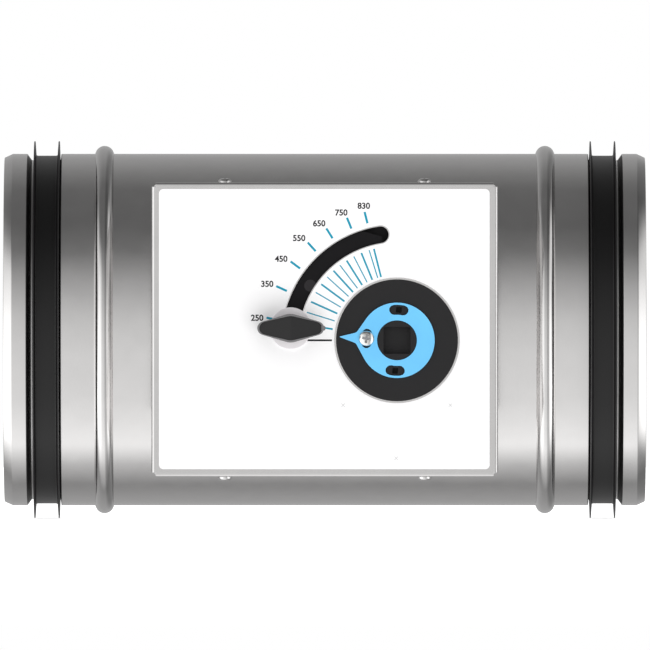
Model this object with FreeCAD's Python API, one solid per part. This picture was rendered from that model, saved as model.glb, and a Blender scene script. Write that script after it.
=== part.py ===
import FreeCAD, Part
import math
import os
from FreeCAD import Vector

# Constant air volume regulator for a round duct.
# Each piece is drawn with x along the duct, y upwards and z out of the dial's face.
# At the end all pieces are turned upright: z points up and the dial faces -y.
# The origin is on the duct's axis, at the middle of the inlet's cylindrical land.
# The air comes in at the +x end. Lengths are in millimetres, angles in degrees.

# Duct and spigots
duct_r = 99.5
duct_length = 362.6
sheet_t = 0.8
taper_length = 4.8
taper_drop = 2.2
land_length = 8.3
groove_cone = 2.4
groove_depth = 3.5
groove_floor = 16.4
groove_shoulder = 0.4
bead_share = 0.473
bead_half = 5.25
bead_height = 4.5
bead_chords = 3

# Lip seals
seal_setback = 1.1
seal_width = 15.0
seal_recess = 1.0
lip_reach = 7.25
lip_t = 1.3

# Clearances
seat_gap = 0.05
hole_gap = 0.1
cover_gap = 0.3
running_gap = 0.05
travel_gap = 0.3
turning_gap = 0.5

# Console cover and base
cover_rise = 30.5
cover_length = 194.8
cover_width = 165.5
cover_side = 14.0
cover_sheet = 1.0
cover_bend = 1.7
corner_notch = 2.4
base_sheet = 1.0
base_bend = 1.6
foot_width = 12.0
screw_spread = 56.1
screw_below_face = 7.0
screw_r = 2.0
screw_head_r = 3.95
screw_head = 2.4
screw_length = 8.0
recess_width = 1.0
head_sides = 16

# Dial and its axis, which is also the blade's axis
axis_right = 40.6
axis_drop = 6.0
dial_r = 34.1
dial_proud = 1.4
dial_t = 2.7
land_r = 10.9
land_proud = 1.0
socket_width = 15.2
socket_corner = 1.2
socket_depth = 6.0
hub_r = 10.5
hub_gap = 1.5
pointer_angle = 3.5
shield_t = 2.5
shield_start = -3.0
shield_end = 81.8
shield_margin = 0.5
shield_inner_r = 30.0

# Pointer ring and its screw
ring_r = 21.6
ring_bore_gap = 0.2
ring_t = 1.2
nose_tip = 32.4
nose_shoulder = 23.0
nose_half = 3.0
nose_flare_x = 19.0
kidney_radius = 17.15
kidney_half = 2.8
kidney_reach = 8.85
pocket_width = 3.2
pocket_depth = 1.5
pointer_screw_r = 2.0
pointer_screw_head_r = 4.25
pointer_screw_head = 2.4
pointer_screw_length = 5.5

# Arc slot and clamp
slot_radius = 60.1
slot_half = 4.6
slot_start = 6.5
slot_end = 81.1
stud_r = 3.0
stud_rise = 11.0
collar_r = 3.6
washer_r = 11.7
washer_t = 1.6
washer_lift = 0.3
knob_skirt_r = 6.6
knob_skirt = 6.0
wing_height = 8.0
wing_slope = 1.6
wing_half = 18.6
wing_half_width = 8.0
wing_middle_r = 10.0
wing_end_r = 3.9
nib_length = 1.2
nib_width = 2.3
nib_rise = 0.7

# Setting lever and spring post
lever_t = 2.0
lever_ring_r = 18.0
lever_half = 7.0
post_radius = 22.0
post_r = 2.0
post_overlap = 1.5

# Blade shaft and bearings
shaft_r = 5.0
shaft_reach = 6.5
bush_r = 8.0
bush_inside = 10.7
flange_r = 13.0
flange_rise = 2.1
bearing_floor = 3.0
nut_r = 12.5
nut_t = 6.0

# Blade
rest_angle = 12.0
closed_angle = 72.0
blade_gap = 3.0
blade_t = 1.5
shaft_flat = 1.0
notch_gap = 1.5
blade_screw_offset = 50.0
blade_screw_r = 2.0
blade_screw_depth = 5.0
blade_screw_head_r = 4.0
blade_screw_head = 2.8

# Crank, balance weight and stops
crank_lift = 0.4
crank_t = 4.0
crank_hub_r = 9.0
crank_hub = 14.0
crank_half = 5.0
crank_reach = 34.0
crank_angle = 267.1
weight_radius = 33.0
weight_r = 9.0
weight_t = 5.0
weight_spigot_r = 3.0
stop_radius = 30.0
stop_r = 3.0
stop_rise = 1.0
stop_gap = 0.3
grub_r = 1.5
spring_pin_radius = 18.0
spring_pin_r = 1.5

# Torsion spring
wire = 1.8
spring_turns = 3
spring_pitch = 2.2
spring_lift = 0.4
chords_per_turn = 12
leg_tail = 4.0

# Damping bellows and its bracket
bellows_inner = 28.0
bellows_outer = 72.0
bellows_half = 30.0
bellows_folds = 3
fold_depth = 5.0
bracket_drop = 8.0
bracket_t = 1.5
bracket_margin = 2.0
web_t = 2.0
web_margin = 10.0
bracket_foot_half = 12.0
clamp_plate_t = 1.5

# Sizes that follow
spigot_length = taper_length + land_length + groove_cone + groove_floor + groove_shoulder
beside_cover = (duct_length - cover_length) / 2 - spigot_length
bead_offset = spigot_length + bead_share * beside_cover
inlet_edge = taper_length + land_length / 2
mid_x = inlet_edge - duct_length / 2
outlet_edge = inlet_edge - duct_length
axis_x = mid_x + axis_right
axis_y = -axis_drop
duct_inner_r = duct_r - sheet_t
lip_r = duct_r + lip_reach
cover_face = duct_r + cover_rise
cover_inner_face = cover_face - cover_sheet
cover_foot = cover_face - cover_side
base_half_length = cover_length / 2 - cover_sheet - cover_gap
base_half_width = cover_width / 2 - cover_sheet - cover_gap
base_top = cover_inner_face - cover_gap
dial_top = cover_face + dial_proud
dial_bottom = dial_top - dial_t
shield_top = cover_inner_face - cover_gap
shield_bottom = shield_top - shield_t
land_top = dial_top + land_proud
ring_bore_r = land_r + ring_bore_gap
dial_hole_r = dial_r + turning_gap
screw_z = cover_face - screw_below_face
bush_top = duct_r + flange_rise
bush_bottom = duct_r - bush_inside
shaft_bottom = -duct_r
crank_bottom = bush_top + crank_lift
crank_top = crank_bottom + crank_t
hub_floor = crank_bottom + crank_hub + hub_gap
shaft_top = hub_floor + shaft_reach
spring_r = crank_hub_r + turning_gap + wire / 2
spring_floor = crank_top + spring_lift + wire / 2
spring_top = spring_floor + (spring_turns + 0.5) * spring_pitch
lever_top = shield_bottom
lever_bottom = lever_top - lever_t
setting_travel = slot_end - slot_start
blade_travel = closed_angle - rest_angle
bellows_top_n = shaft_r - shaft_flat - clamp_plate_t
washer_bottom = cover_face + washer_lift
knob_bottom = washer_bottom + washer_t + seat_gap
wing_bottom = knob_bottom + knob_skirt
wing_top = wing_bottom + wing_height
stud_top = knob_bottom + stud_rise


def cylinder(radius, low, high, x=0.0, y=0.0):
    """A cylinder along z between two heights."""
    return Part.makeCylinder(radius, high - low, Vector(x, y, low), Vector(0, 0, 1))


def block(x_low, x_high, y_low, y_high, z_low, z_high):
    """A box between opposite corners."""
    corner = Vector(x_low, y_low, z_low)
    return Part.makeBox(x_high - x_low, y_high - y_low, z_high - z_low, corner)


def ring(outer, inner, low, high, x=0.0, y=0.0):
    """A tube along z."""
    return cylinder(outer, low, high, x, y).cut(cylinder(inner, low - 1, high + 1, x, y))


def duct_cylinder(radius):
    """A solid cylinder on the duct's axis, longer than the duct."""
    start = Vector(outlet_edge - duct_length / 4, 0, 0)
    return Part.makeCylinder(radius, duct_length * 1.5, start, Vector(1, 0, 0))


def polar(radius, angle, z=0.0):
    """A point about the dial's axis; angles run clockwise from the left."""
    turn = math.radians(angle)
    return Vector(axis_x - radius * math.cos(turn), axis_y + radius * math.sin(turn), z)


def about_axis(radius, angle, z=0.0):
    """A point about the dial's axis; angles run anticlockwise from the right."""
    turn = math.radians(angle)
    return Vector(axis_x + radius * math.cos(turn), axis_y + radius * math.sin(turn), z)


def turned(shape, angle):
    """A copy turned anticlockwise about the dial's axis."""
    copy = shape.copy()
    copy.rotate(Vector(axis_x, axis_y, 0), Vector(0, 0, 1), angle)
    return copy


def merged(shapes):
    """Several touching solids joined into one, with shared faces cleaned up."""
    return shapes[0].multiFuse(shapes[1:]).removeSplitter()


def extruded(edges, low, high):
    """A closed line of edges drawn at height zero, made solid between two heights."""
    face = Part.Face(Part.Wire(Part.__sortEdges__(edges)))
    face.translate(Vector(0, 0, low))
    return face.extrude(Vector(0, 0, high - low))


def polygon(points, low, high):
    """A prism on a closed polygon."""
    outline = Part.makePolygon([Vector(x, y, low) for x, y in points + points[:1]])
    return Part.Face(outline).extrude(Vector(0, 0, high - low))


def arc_slot(radius, half, start, end, low, high):
    """A round-ended slot along an arc about the dial's axis."""
    middle = (start + end) / 2
    start_turn = math.radians(start)
    end_turn = math.radians(end)
    start_cap = polar(radius, start) - Vector(math.sin(start_turn), math.cos(start_turn), 0) * half
    end_cap = polar(radius, end) + Vector(math.sin(end_turn), math.cos(end_turn), 0) * half
    far = [polar(radius + half, angle) for angle in (start, middle, end)]
    near = [polar(radius - half, angle) for angle in (start, middle, end)]
    arcs = [
        Part.Arc(far[0], far[1], far[2]),
        Part.Arc(far[2], end_cap, near[2]),
        Part.Arc(near[2], near[1], near[0]),
        Part.Arc(near[0], start_cap, far[0]),
    ]
    return extruded([arc.toShape() for arc in arcs], low, high)


def rounded_block(length, width, corner, low, high, x=0.0, y=0.0):
    """A box with four rounded upright edges, centred on a point."""
    box = block(x - length / 2, x + length / 2, y - width / 2, y + width / 2, low, high)
    upright = [edge for edge in box.Edges if abs(edge.tangentAt(edge.FirstParameter).z) > 0.9]
    return box.makeFillet(corner, upright)


def prism(radius, sides, low, high):
    """A prism on z with equal sides, measured to its corners."""
    points = []
    for corner in range(sides):
        turn = 2 * math.pi * corner / sides
        points.append((radius * math.cos(turn), radius * math.sin(turn)))
    return polygon(points, low, high)


def hexagon(radius, low, high, x=0.0, y=0.0):
    """A hexagonal prism on z, measured to its corners."""
    return placed(prism(radius, 6, low, high), Vector(x, y, 0))


def pan_head(radius, height, low):
    """A low many-sided screw head on z with a bevelled rim and a cross recess in its top."""
    head = prism(radius, head_sides, low, low + height)
    rim = [edge for edge in face_edges(head, low + height)]
    head = head.makeChamfer(height * 0.4, rim)
    cross_half = radius * 0.55
    cross_floor = low + height * 0.4
    for along, across in ((cross_half, recess_width / 2), (recess_width / 2, cross_half)):
        head = head.cut(block(-along, along, -across, across, cross_floor, low + height + 1))
    return head


def placed(shape, point, turn_axis=None, turn=0.0):
    """A copy turned about a line through the origin and then moved to a point."""
    copy = shape.copy()
    if turn_axis is not None:
        copy.rotate(Vector(0, 0, 0), turn_axis, turn)
    copy.translate(point)
    return copy


# Duct

def spigot_points(edge_x, inward):
    """Corners of the sheet's outer line from one edge of the duct to the end of its groove."""
    steps = [
        (0.0, duct_r - taper_drop),
        (taper_length, duct_r),
        (land_length, duct_r),
        (groove_cone, duct_r - groove_depth),
        (groove_floor, duct_r - groove_depth),
        (groove_shoulder, duct_r),
    ]
    distance = 0.0
    points = []
    for step, radius in steps:
        distance += step
        points.append(Vector(edge_x + inward * distance, radius, 0))
    return points


def bead_points(centre_x):
    """A rolled bead as equal chords of its crest's arc, foot to foot."""
    crest_r = (bead_half ** 2 + bead_height ** 2) / (2 * bead_height)
    centre_y = duct_r + bead_height - crest_r
    foot_turn = math.acos((duct_r - centre_y) / crest_r)
    points = []
    for chord in range(bead_chords + 1):
        turn = foot_turn * (2 * chord / bead_chords - 1)
        points.append(Vector(centre_x + crest_r * math.sin(turn), centre_y + crest_r * math.cos(turn), 0))
    return points


def inset_points(points, inset):
    """Corners of a line that runs beside another one at an even distance, nearer the axis."""
    moved = []
    for index, point in enumerate(points[:-1]):
        after = points[index + 1] - point
        before = point - points[index - 1] if index else after
        normals = []
        for run in (before, after):
            normal = Vector(-run.y, run.x, 0).normalize()
            normals.append(normal if normal.y < 0 else normal * -1)
        bisector = normals[0] + normals[1]
        moved.append(point + bisector * (inset / (1 + normals[0].dot(normals[1]))))
    return moved


def outer_line():
    """The sheet's outside, from the outlet edge to the inlet edge, with both beads."""
    line = spigot_points(outlet_edge, 1) + bead_points(outlet_edge + bead_offset)
    return line + bead_points(inlet_edge - bead_offset) + spigot_points(inlet_edge, -1)[::-1]


def inner_line():
    """The sheet's inside, which runs straight behind the beads."""
    outlet = spigot_points(outlet_edge, 1) + [Vector(mid_x, duct_r, 0)]
    inlet = spigot_points(inlet_edge, -1) + [Vector(mid_x, duct_r, 0)]
    return inset_points(outlet, sheet_t) + inset_points(inlet, sheet_t)[::-1]


def stop_points():
    """Centres of the two pins that stop the crank, at rest first."""
    offset = math.degrees(math.asin((crank_half + stop_r + stop_gap) / stop_radius))
    rest = about_axis(stop_radius, crank_angle - offset)
    closed = about_axis(stop_radius, crank_angle + blade_travel + offset)
    return [rest, closed]


def make_duct_casing():
    """The rolled sheet, turned about the duct's axis, with a hole for each bearing."""
    outline = outer_line() + inner_line()[::-1]
    sheet = Part.Face(Part.makePolygon(outline + outline[:1]))
    tube = sheet.revolve(Vector(0, 0, 0), Vector(1, 0, 0), 360)
    for side in (-1, 1):
        low = side * duct_r - 15
        tube = tube.cut(cylinder(bush_r + hole_gap, low, low + 30, axis_x, axis_y))
    return tube


def make_lip_seal(edge_x, inward):
    """A rubber ring in the groove with two thin lips that end in an edge."""
    start = taper_length + land_length + groove_cone + seal_setback
    foot_r = duct_r - groove_depth + seat_gap
    body_r = duct_r - seal_recess
    end = start + seal_width
    outline = [
        (start, foot_r),
        (start, lip_r),
        (start + lip_t, body_r),
        (end - lip_t, body_r),
        (end, lip_r),
        (end, foot_r),
    ]
    points = [Vector(edge_x + inward * distance, radius, 0) for distance, radius in outline]
    face = Part.Face(Part.makePolygon(points + points[:1]))
    return face.revolve(Vector(0, 0, 0), Vector(1, 0, 0), 360)


# Console

def make_console_base():
    """Four sheet walls between duct and cover, with a foot along each long wall."""
    outer = rounded_block(2 * base_half_length, 2 * base_half_width, base_bend, 0, base_top, mid_x)
    inner_length = 2 * (base_half_length - base_sheet)
    inner_width = 2 * (base_half_width - base_sheet)
    inner = block(mid_x - inner_length / 2, mid_x + inner_length / 2, -inner_width / 2,
                  inner_width / 2, -1, base_top + 1)
    seat_r = duct_r + seat_gap
    walls = outer.cut(inner).cut(duct_cylinder(seat_r))
    pieces = [walls] + [wall_foot(side) for side in (-1, 1)]
    base = merged(pieces)
    for x, side in cover_screw_places():
        base = base.cut(side_hole(x, side, running_gap))
    return base


def wall_foot(side):
    """A strip turned in from a long wall, flat against the duct's skin."""
    mid_y = base_half_width - base_sheet - foot_width / 2
    turn = math.asin(mid_y / (duct_r + seat_gap))
    half_length = base_half_length - base_sheet / 2
    half_width = foot_width / 2 / math.cos(turn) + base_sheet / 2
    strip = block(-half_length, half_length, -half_width, half_width, duct_r + seat_gap,
                  duct_r + seat_gap + base_sheet)
    return placed(strip, Vector(mid_x, 0, 0), Vector(1, 0, 0), -side * math.degrees(turn))


def side_hole(x, side, gap):
    """A hexagonal hole through one long wall for a cover screw's shank."""
    bar = hexagon(screw_r + gap, -screw_length, screw_length)
    return placed(bar, Vector(x, side * cover_width / 2, screw_z), Vector(1, 0, 0), -90 * side)


def cover_screw_places():
    """Place along the duct and side of each cover screw."""
    return [(mid_x + across * screw_spread, side) for across in (-1, 1) for side in (-1, 1)]


def make_console_cover():
    """A folded lid: flat face, four bent-down sides and an open notch at each corner."""
    half_l = cover_length / 2
    half_w = cover_width / 2
    outer = block(mid_x - half_l, mid_x + half_l, -half_w, half_w, cover_foot, cover_face)
    outer = outer.makeFillet(cover_bend, face_edges(outer, cover_face))
    in_l = half_l - cover_sheet
    in_w = half_w - cover_sheet
    inner = block(mid_x - in_l, mid_x + in_l, -in_w, in_w, cover_foot - 5, cover_inner_face)
    cover = outer.cut(inner)
    for across in (-1, 1):
        for side in (-1, 1):
            x = mid_x + across * (half_l - corner_notch / 2)
            y = side * (half_w - corner_notch / 2)
            reach = corner_notch / 2
            notch = block(x - reach, x + reach, y - reach, y + reach, cover_foot - 1, cover_face + 1)
            cover = cover.cut(notch)
    cover = cover.cut(cylinder(dial_hole_r, cover_foot, cover_face + 1, axis_x, axis_y))
    slot = arc_slot(slot_radius, slot_half, slot_start, slot_end, cover_foot, cover_face + 1)
    cover = cover.cut(slot)
    for x, side in cover_screw_places():
        cover = cover.cut(side_hole(x, side, hole_gap))
    return cover


def face_edges(shape, height):
    """The edges that lie flat at one height."""
    return [edge for edge in shape.Edges
            if abs(edge.BoundBox.ZMin - height) < 1e-6 and abs(edge.BoundBox.ZMax - height) < 1e-6]


def make_cover_screws():
    """Pan-head screws through the cover's long sides into the base."""
    head = pan_head(screw_head_r, screw_head, seat_gap)
    screw = merged([head, hexagon(screw_r, -screw_length, seat_gap + 0.5)])
    screws = []
    for x, side in cover_screw_places():
        point = Vector(x, side * cover_width / 2, screw_z)
        screws.append(placed(screw, point, Vector(1, 0, 0), -90 * side))
    return Part.makeCompound(screws)


# Setting group

def shield_sector():
    """The dark sector under the slot, trimmed so that it clears the wall when fully turned."""
    outer = slot_radius + slot_half + shield_margin
    inner = shield_inner_r
    middle = (shield_start + shield_end) / 2
    far = [polar(outer, angle) for angle in (shield_start, middle, shield_end)]
    near = [polar(inner, angle) for angle in (shield_start, middle, shield_end)]
    edges = [
        Part.Arc(far[0], far[1], far[2]).toShape(),
        Part.LineSegment(far[2], near[2]).toShape(),
        Part.Arc(near[2], near[1], near[0]).toShape(),
        Part.LineSegment(near[0], far[0]).toShape(),
    ]
    sector = extruded(edges, shield_bottom, shield_top)
    wall = base_half_length - base_sheet - axis_right - turning_gap
    beyond = block(axis_x + wall, axis_x + 2 * outer, axis_y - 2 * outer, axis_y + 2 * outer,
                   shield_bottom - 1, shield_top + 1)
    return sector.cut(turned(beyond, setting_travel))


def make_setting_dial():
    """The moulding: dial disc, hub on the shaft's end, drive socket and slot shield."""
    disc = cylinder(dial_r, shield_bottom, dial_top, axis_x, axis_y)
    hub = hexagon(hub_r, hub_floor, dial_bottom, axis_x, axis_y)
    land = cylinder(land_r, dial_top - 1, land_top, axis_x, axis_y)
    dial = merged([disc, turned(hub, -slot_start), land, shield_sector()])
    socket_floor = land_top - socket_depth
    socket = rounded_block(socket_width, socket_width, socket_corner, socket_floor, land_top + 1,
                           axis_x, axis_y)
    dial = dial.cut(socket)
    bore_top = shaft_top + travel_gap
    dial = dial.cut(cylinder(shaft_r + running_gap, hub_floor - 1, bore_top, axis_x, axis_y))
    hole = polar(kidney_radius, pointer_angle)
    screw_floor = dial_top + ring_t - pointer_screw_length - travel_gap
    dial = dial.cut(hexagon(pointer_screw_r + seat_gap, screw_floor, dial_top + 1, hole.x, hole.y))
    for quarter in (-90, 90):
        centre = polar(kidney_radius, 0)
        half = pocket_width / 2
        pocket = block(centre.x - half, centre.x + half, centre.y - half, centre.y + half,
                       dial_top - pocket_depth, dial_top + 1)
        dial = dial.cut(turned(pocket, -pointer_angle - quarter))
    collar = hexagon(collar_r + seat_gap, shield_bottom - 1, shield_top + 1,
                     axis_x - slot_radius, axis_y)
    return dial.cut(turned(collar, -slot_start))


def lever_points():
    """Corners of the lever's outline, drawn pointing left from the dial's axis."""
    wide = lever_ring_r
    slant = wide * math.tan(math.pi / 8)
    end = slot_radius + lever_half
    corner = lever_half / 2
    upper = [(wide, slant), (slant, wide), (-slant, wide), (-slot_radius, lever_half),
             (-end, corner)]
    corners = upper + [(x, -y) for x, y in upper[::-1]]
    return [(axis_x + x, axis_y + y) for x, y in corners]


def make_setting_lever():
    """A lever keyed on the hub, with the knob's stud and the spring's post riveted in it."""
    stud_x = axis_x - slot_radius
    post_x = axis_x - post_radius
    plate = polygon(lever_points(), lever_bottom, lever_top)
    plate = plate.cut(hexagon(hub_r + seat_gap, lever_bottom - 1, lever_top + 1, axis_x, axis_y))
    collar = hexagon(collar_r, lever_bottom, shield_top, stud_x, axis_y)
    shank = cylinder(stud_r, shield_top - 1, stud_top, stud_x, axis_y)
    post_floor = spring_top - wire / 2 - post_overlap
    post = hexagon(post_r, post_floor, lever_top, post_x, axis_y)
    return turned(merged([plate, collar, shank, post]), -slot_start)


def make_slide_washer():
    """A smooth washer that the knob clamps on the cover."""
    point = polar(slot_radius, slot_start)
    return ring(washer_r, stud_r + hole_gap, washer_bottom, washer_bottom + washer_t,
                point.x, point.y)


def wing_points():
    """Corners of a rhombic outline with rounded middle and ends, each round taken as chords."""
    end_x = wing_half - wing_end_r
    drop = wing_middle_r - wing_half_width
    span = math.hypot(end_x, drop)
    lean = math.atan2(drop, end_x) + math.asin((wing_middle_r - wing_end_r) / span)
    points = []
    for quarter in range(4):
        along, across = ((1, 1), (-1, 1), (-1, -1), (1, -1))[quarter]
        rounds = [(0.0, -across * drop, wing_middle_r, turn * lean / 2) for turn in (0, 1, 2)]
        ends = [(along * end_x, 0.0, wing_end_r, lean + (math.pi / 2 - lean) * turn / 3)
                for turn in (0, 1, 2, 3)]
        corner = [(x + along * radius * math.sin(turn), y + across * radius * math.cos(turn))
                  for x, y, radius, turn in rounds + ends]
        points += corner[::-1] if along * across > 0 else corner
    unique = []
    for point in points:
        if not unique or math.dist(point, unique[-1]) > seat_gap:
            unique.append(point)
    if math.dist(unique[0], unique[-1]) < seat_gap:
        unique.pop()
    return unique


def make_clamp_knob():
    """A wing with two sloping top facets on a round skirt, with a small nib at one end."""
    wing = polygon(wing_points(), wing_bottom, wing_top + 1)
    edge_z = wing_top - wing_slope
    roof = Part.makePolygon([
        Vector(-wing_half - 1, -wing_half, edge_z),
        Vector(0, -wing_half, wing_top),
        Vector(wing_half + 1, -wing_half, edge_z),
        Vector(wing_half + 1, -wing_half, wing_top + 5),
        Vector(-wing_half - 1, -wing_half, wing_top + 5),
        Vector(-wing_half - 1, -wing_half, edge_z),
    ])
    wing = wing.cut(Part.Face(roof).extrude(Vector(0, 2 * wing_half, 0)))
    skirt = cylinder(knob_skirt_r, knob_bottom, wing_bottom + 1)
    nib_mid = nib_rise
    nib = block(wing_half - 1, wing_half + nib_length, nib_mid - nib_width / 2,
                nib_mid + nib_width / 2, wing_bottom + 1, wing_top - wing_slope - 2)
    knob = merged([wing, skirt, nib])
    knob = knob.cut(cylinder(stud_r + running_gap, knob_bottom - 1, stud_top + travel_gap))
    return placed(knob, polar(slot_radius, slot_start))


# Pointer group

def nose_points():
    """Corners of the pointer's nose, drawn pointing left from the dial's axis."""
    flare_y = math.sqrt(ring_r ** 2 - nose_flare_x ** 2)
    return [
        (axis_x - nose_flare_x, axis_y - flare_y),
        (axis_x - nose_shoulder, axis_y - nose_half),
        (axis_x - nose_tip, axis_y),
        (axis_x - nose_shoulder, axis_y + nose_half),
        (axis_x - nose_flare_x, axis_y + flare_y),
    ]


def kidney_points():
    """Corners of a slot's outline left of the dial's axis, its round ends taken as chords."""
    points = []
    for side in (-1, 1):
        reach = math.radians(kidney_reach)
        points.append((kidney_radius + side * kidney_half, -side * reach))
        points.append((kidney_radius + side * kidney_half, 0.0))
        points.append((kidney_radius + side * kidney_half, side * reach))
        swell = math.radians(kidney_reach) + 0.87 * kidney_half / kidney_radius
        points.append((kidney_radius + side * kidney_half / 2, side * swell))
        points.append((kidney_radius - side * kidney_half / 2, side * swell))
    corners = [polar(radius, math.degrees(turn)) for radius, turn in points]
    return [(corner.x, corner.y) for corner in corners]


def make_pointer_ring():
    """A flat ring with a pointed nose and three kidney slots a quarter turn apart."""
    low = dial_top + seat_gap
    high = low + ring_t
    disc = cylinder(ring_r, low, high, axis_x, axis_y)
    flat = merged([disc, polygon(nose_points(), low, high)])
    flat = flat.cut(cylinder(ring_bore_r, low - 1, high + 1, axis_x, axis_y))
    for quarter in (-90, 0, 90):
        slot = polygon(kidney_points(), low - 1, high + 1)
        flat = flat.cut(turned(slot, quarter))
    return turned(flat, -pointer_angle)


def make_pointer_screw():
    low = dial_top + 2 * seat_gap + ring_t
    head = pan_head(pointer_screw_head_r, pointer_screw_head, low)
    screw = merged([head, hexagon(pointer_screw_r, low - pointer_screw_length, low + 0.5)])
    return placed(screw, polar(kidney_radius, pointer_angle))


# Blade group

def make_blade_shaft():
    """A round bar across the duct with a flat for the blade."""
    bar = cylinder(shaft_r, shaft_bottom, shaft_top, axis_x, axis_y)
    flat_level = axis_y + shaft_r - shaft_flat
    reach = duct_r - bush_inside - notch_gap
    milled = block(axis_x - shaft_r - 1, axis_x + shaft_r + 1, flat_level, axis_y + shaft_r + 1,
                   -reach, reach)
    bar = bar.cut(milled)
    for side in (-1, 1):
        bar = bar.cut(blade_screw_hole(side, running_gap))
    return turned(bar, rest_angle)


def make_damper_blade():
    """A flat plate whose outline fills the duct when it stands at its closed angle."""
    level = axis_y + shaft_r - shaft_flat
    reach = 2 * duct_r
    plate = block(axis_x - reach, axis_x + reach, level, level + blade_t, -duct_r, duct_r)
    bore = turned(duct_cylinder(duct_inner_r - blade_gap), -closed_angle)
    blade = plate.common(bore)
    notch_half = flange_r + notch_gap
    inner_end = duct_r - bush_inside - notch_gap
    for side in (-1, 1):
        low = min(side * inner_end, side * duct_r)
        high = max(side * inner_end, side * duct_r)
        notch = block(axis_x - notch_half, axis_x + notch_half, level - 1, level + blade_t + 1,
                      low, high)
        blade = blade.cut(notch)
    for side in (-1, 1):
        blade = blade.cut(blade_screw_hole(side, hole_gap))
    return turned(blade, rest_angle)


def blade_screw_hole(side, gap):
    """A hole for a blade screw, drawn before the blade is turned to its rest angle."""
    level = axis_y + shaft_r - shaft_flat
    start = Vector(axis_x, level - blade_screw_depth - travel_gap, side * blade_screw_offset)
    length = blade_screw_depth + travel_gap + blade_t + 1
    bar = hexagon(blade_screw_r + gap, 0, length)
    return placed(bar, start, Vector(1, 0, 0), -90)


def make_blade_screws():
    """Two hexagon screws through the blade into the shaft's flat."""
    level = shaft_r - shaft_flat
    top = level + blade_t + seat_gap
    head = hexagon(blade_screw_head_r, top, top + blade_screw_head)
    shank = hexagon(blade_screw_r, level - blade_screw_depth, top + 0.5)
    screws = []
    for side in (-1, 1):
        screw = merged([head, shank])
        point = Vector(axis_x, axis_y, side * blade_screw_offset)
        screws.append(turned(placed(screw, point, Vector(1, 0, 0), -90), rest_angle))
    return Part.makeCompound(screws)


def outside_duct(shape):
    """What is left of a shape outside the duct's skin."""
    return shape.cut(duct_cylinder(duct_r + seat_gap))


def inside_duct(shape):
    """What is left of a shape inside the duct's skin."""
    return shape.common(duct_cylinder(duct_inner_r - seat_gap))


def make_shaft_bearings():
    """Two bushes with hexagonal flanges on the duct's curve; the rear one is closed."""
    bore_r = shaft_r + running_gap
    flange = outside_duct(hexagon(flange_r, duct_inner_r, bush_top, axis_x, axis_y))
    front = merged([cylinder(bush_r, bush_bottom, bush_top, axis_x, axis_y), flange])
    front = front.cut(cylinder(bore_r, bush_bottom - 1, bush_top + 1, axis_x, axis_y))
    rear_end = -bush_top - bearing_floor
    flange = outside_duct(hexagon(flange_r, rear_end, -duct_inner_r, axis_x, axis_y))
    rear = merged([cylinder(bush_r, -bush_top, -bush_bottom, axis_x, axis_y), flange])
    rear = rear.cut(cylinder(bore_r, shaft_bottom - travel_gap, -bush_bottom + 1, axis_x, axis_y))
    return Part.makeCompound([front, rear])


def make_bearing_nuts():
    """Nuts on both bushes, seated on the inside of the duct."""
    nuts = []
    for side in (-1, 1):
        heights = sorted((side * (duct_inner_r - nut_t), side * duct_r))
        nut = inside_duct(hexagon(nut_r, heights[0], heights[1], axis_x, axis_y))
        bore = cylinder(bush_r + seat_gap, heights[0] - 1, heights[1] + 1, axis_x, axis_y)
        nuts.append(nut.cut(bore))
    return Part.makeCompound(nuts)


def make_crank_arm():
    """A hexagonal hub with a two-ended bar, which has the spring's pin and meets the stops."""
    hub = hexagon(crank_hub_r, crank_bottom, crank_bottom + crank_hub, axis_x, axis_y)
    bar = block(axis_x - weight_radius - crank_half, axis_x + crank_reach,
                axis_y - crank_half, axis_y + crank_half, crank_bottom, crank_top)
    pin = hexagon(spring_pin_r, crank_bottom + 1, spring_floor + wire, axis_x + spring_pin_radius,
                  axis_y)
    crank = merged([hub, bar, pin])
    crank = crank.cut(cylinder(shaft_r + seat_gap, crank_bottom - 1, crank_bottom + crank_hub + 1,
                               axis_x, axis_y))
    crank = crank.cut(hexagon(weight_spigot_r + seat_gap, crank_bottom - 1, crank_top + 1,
                              axis_x - weight_radius, axis_y))
    grub = placed(hexagon(grub_r + seat_gap, 0, crank_hub_r + 2),
                  Vector(axis_x, axis_y, grub_level()), Vector(1, 0, 0), -90)
    return turned(crank.cut(grub), crank_angle)


def grub_level():
    """The set screw sits in the hub between the spring and its top."""
    return crank_bottom + crank_hub - 2 * grub_r


def make_crank_grub_screw():
    """A set screw across the hub that bites on the shaft."""
    start = shaft_r + seat_gap
    flat = crank_hub_r * math.cos(math.pi / 6)
    screw = placed(hexagon(grub_r, start, flat - seat_gap),
                   Vector(axis_x, axis_y, grub_level()), Vector(1, 0, 0), -90)
    around = cylinder(shaft_r + seat_gap, crank_bottom, crank_bottom + crank_hub, axis_x, axis_y)
    return turned(screw.cut(around), crank_angle)


def make_balance_weight():
    """An eight-sided slug with a peg through the crank's short arm."""
    low = crank_top + seat_gap
    weight_x = axis_x - weight_radius
    slug = placed(prism(weight_r, 8, low, low + weight_t), Vector(weight_x, axis_y, 0))
    peg = hexagon(weight_spigot_r, crank_bottom, low + 1, weight_x, axis_y)
    return turned(merged([slug, peg]), crank_angle)


def make_blade_stops():
    """Two pins on the duct's wall beside the crank's arm."""
    pins = []
    for point in stop_points():
        pin = hexagon(stop_r, duct_inner_r - stop_radius, crank_top + stop_rise, point.x, point.y)
        pins.append(outside_duct(pin))
    return Part.makeCompound(pins)


def leg_lean(pin_radius, pin_r):
    """How far a spring leg reaches along its tangent, and the turn from its root to its pin."""
    outward = spring_r + wire / 2 + seat_gap + pin_r
    along = math.sqrt(pin_radius ** 2 - outward ** 2)
    return along, math.degrees(math.atan2(along, outward))


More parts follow.
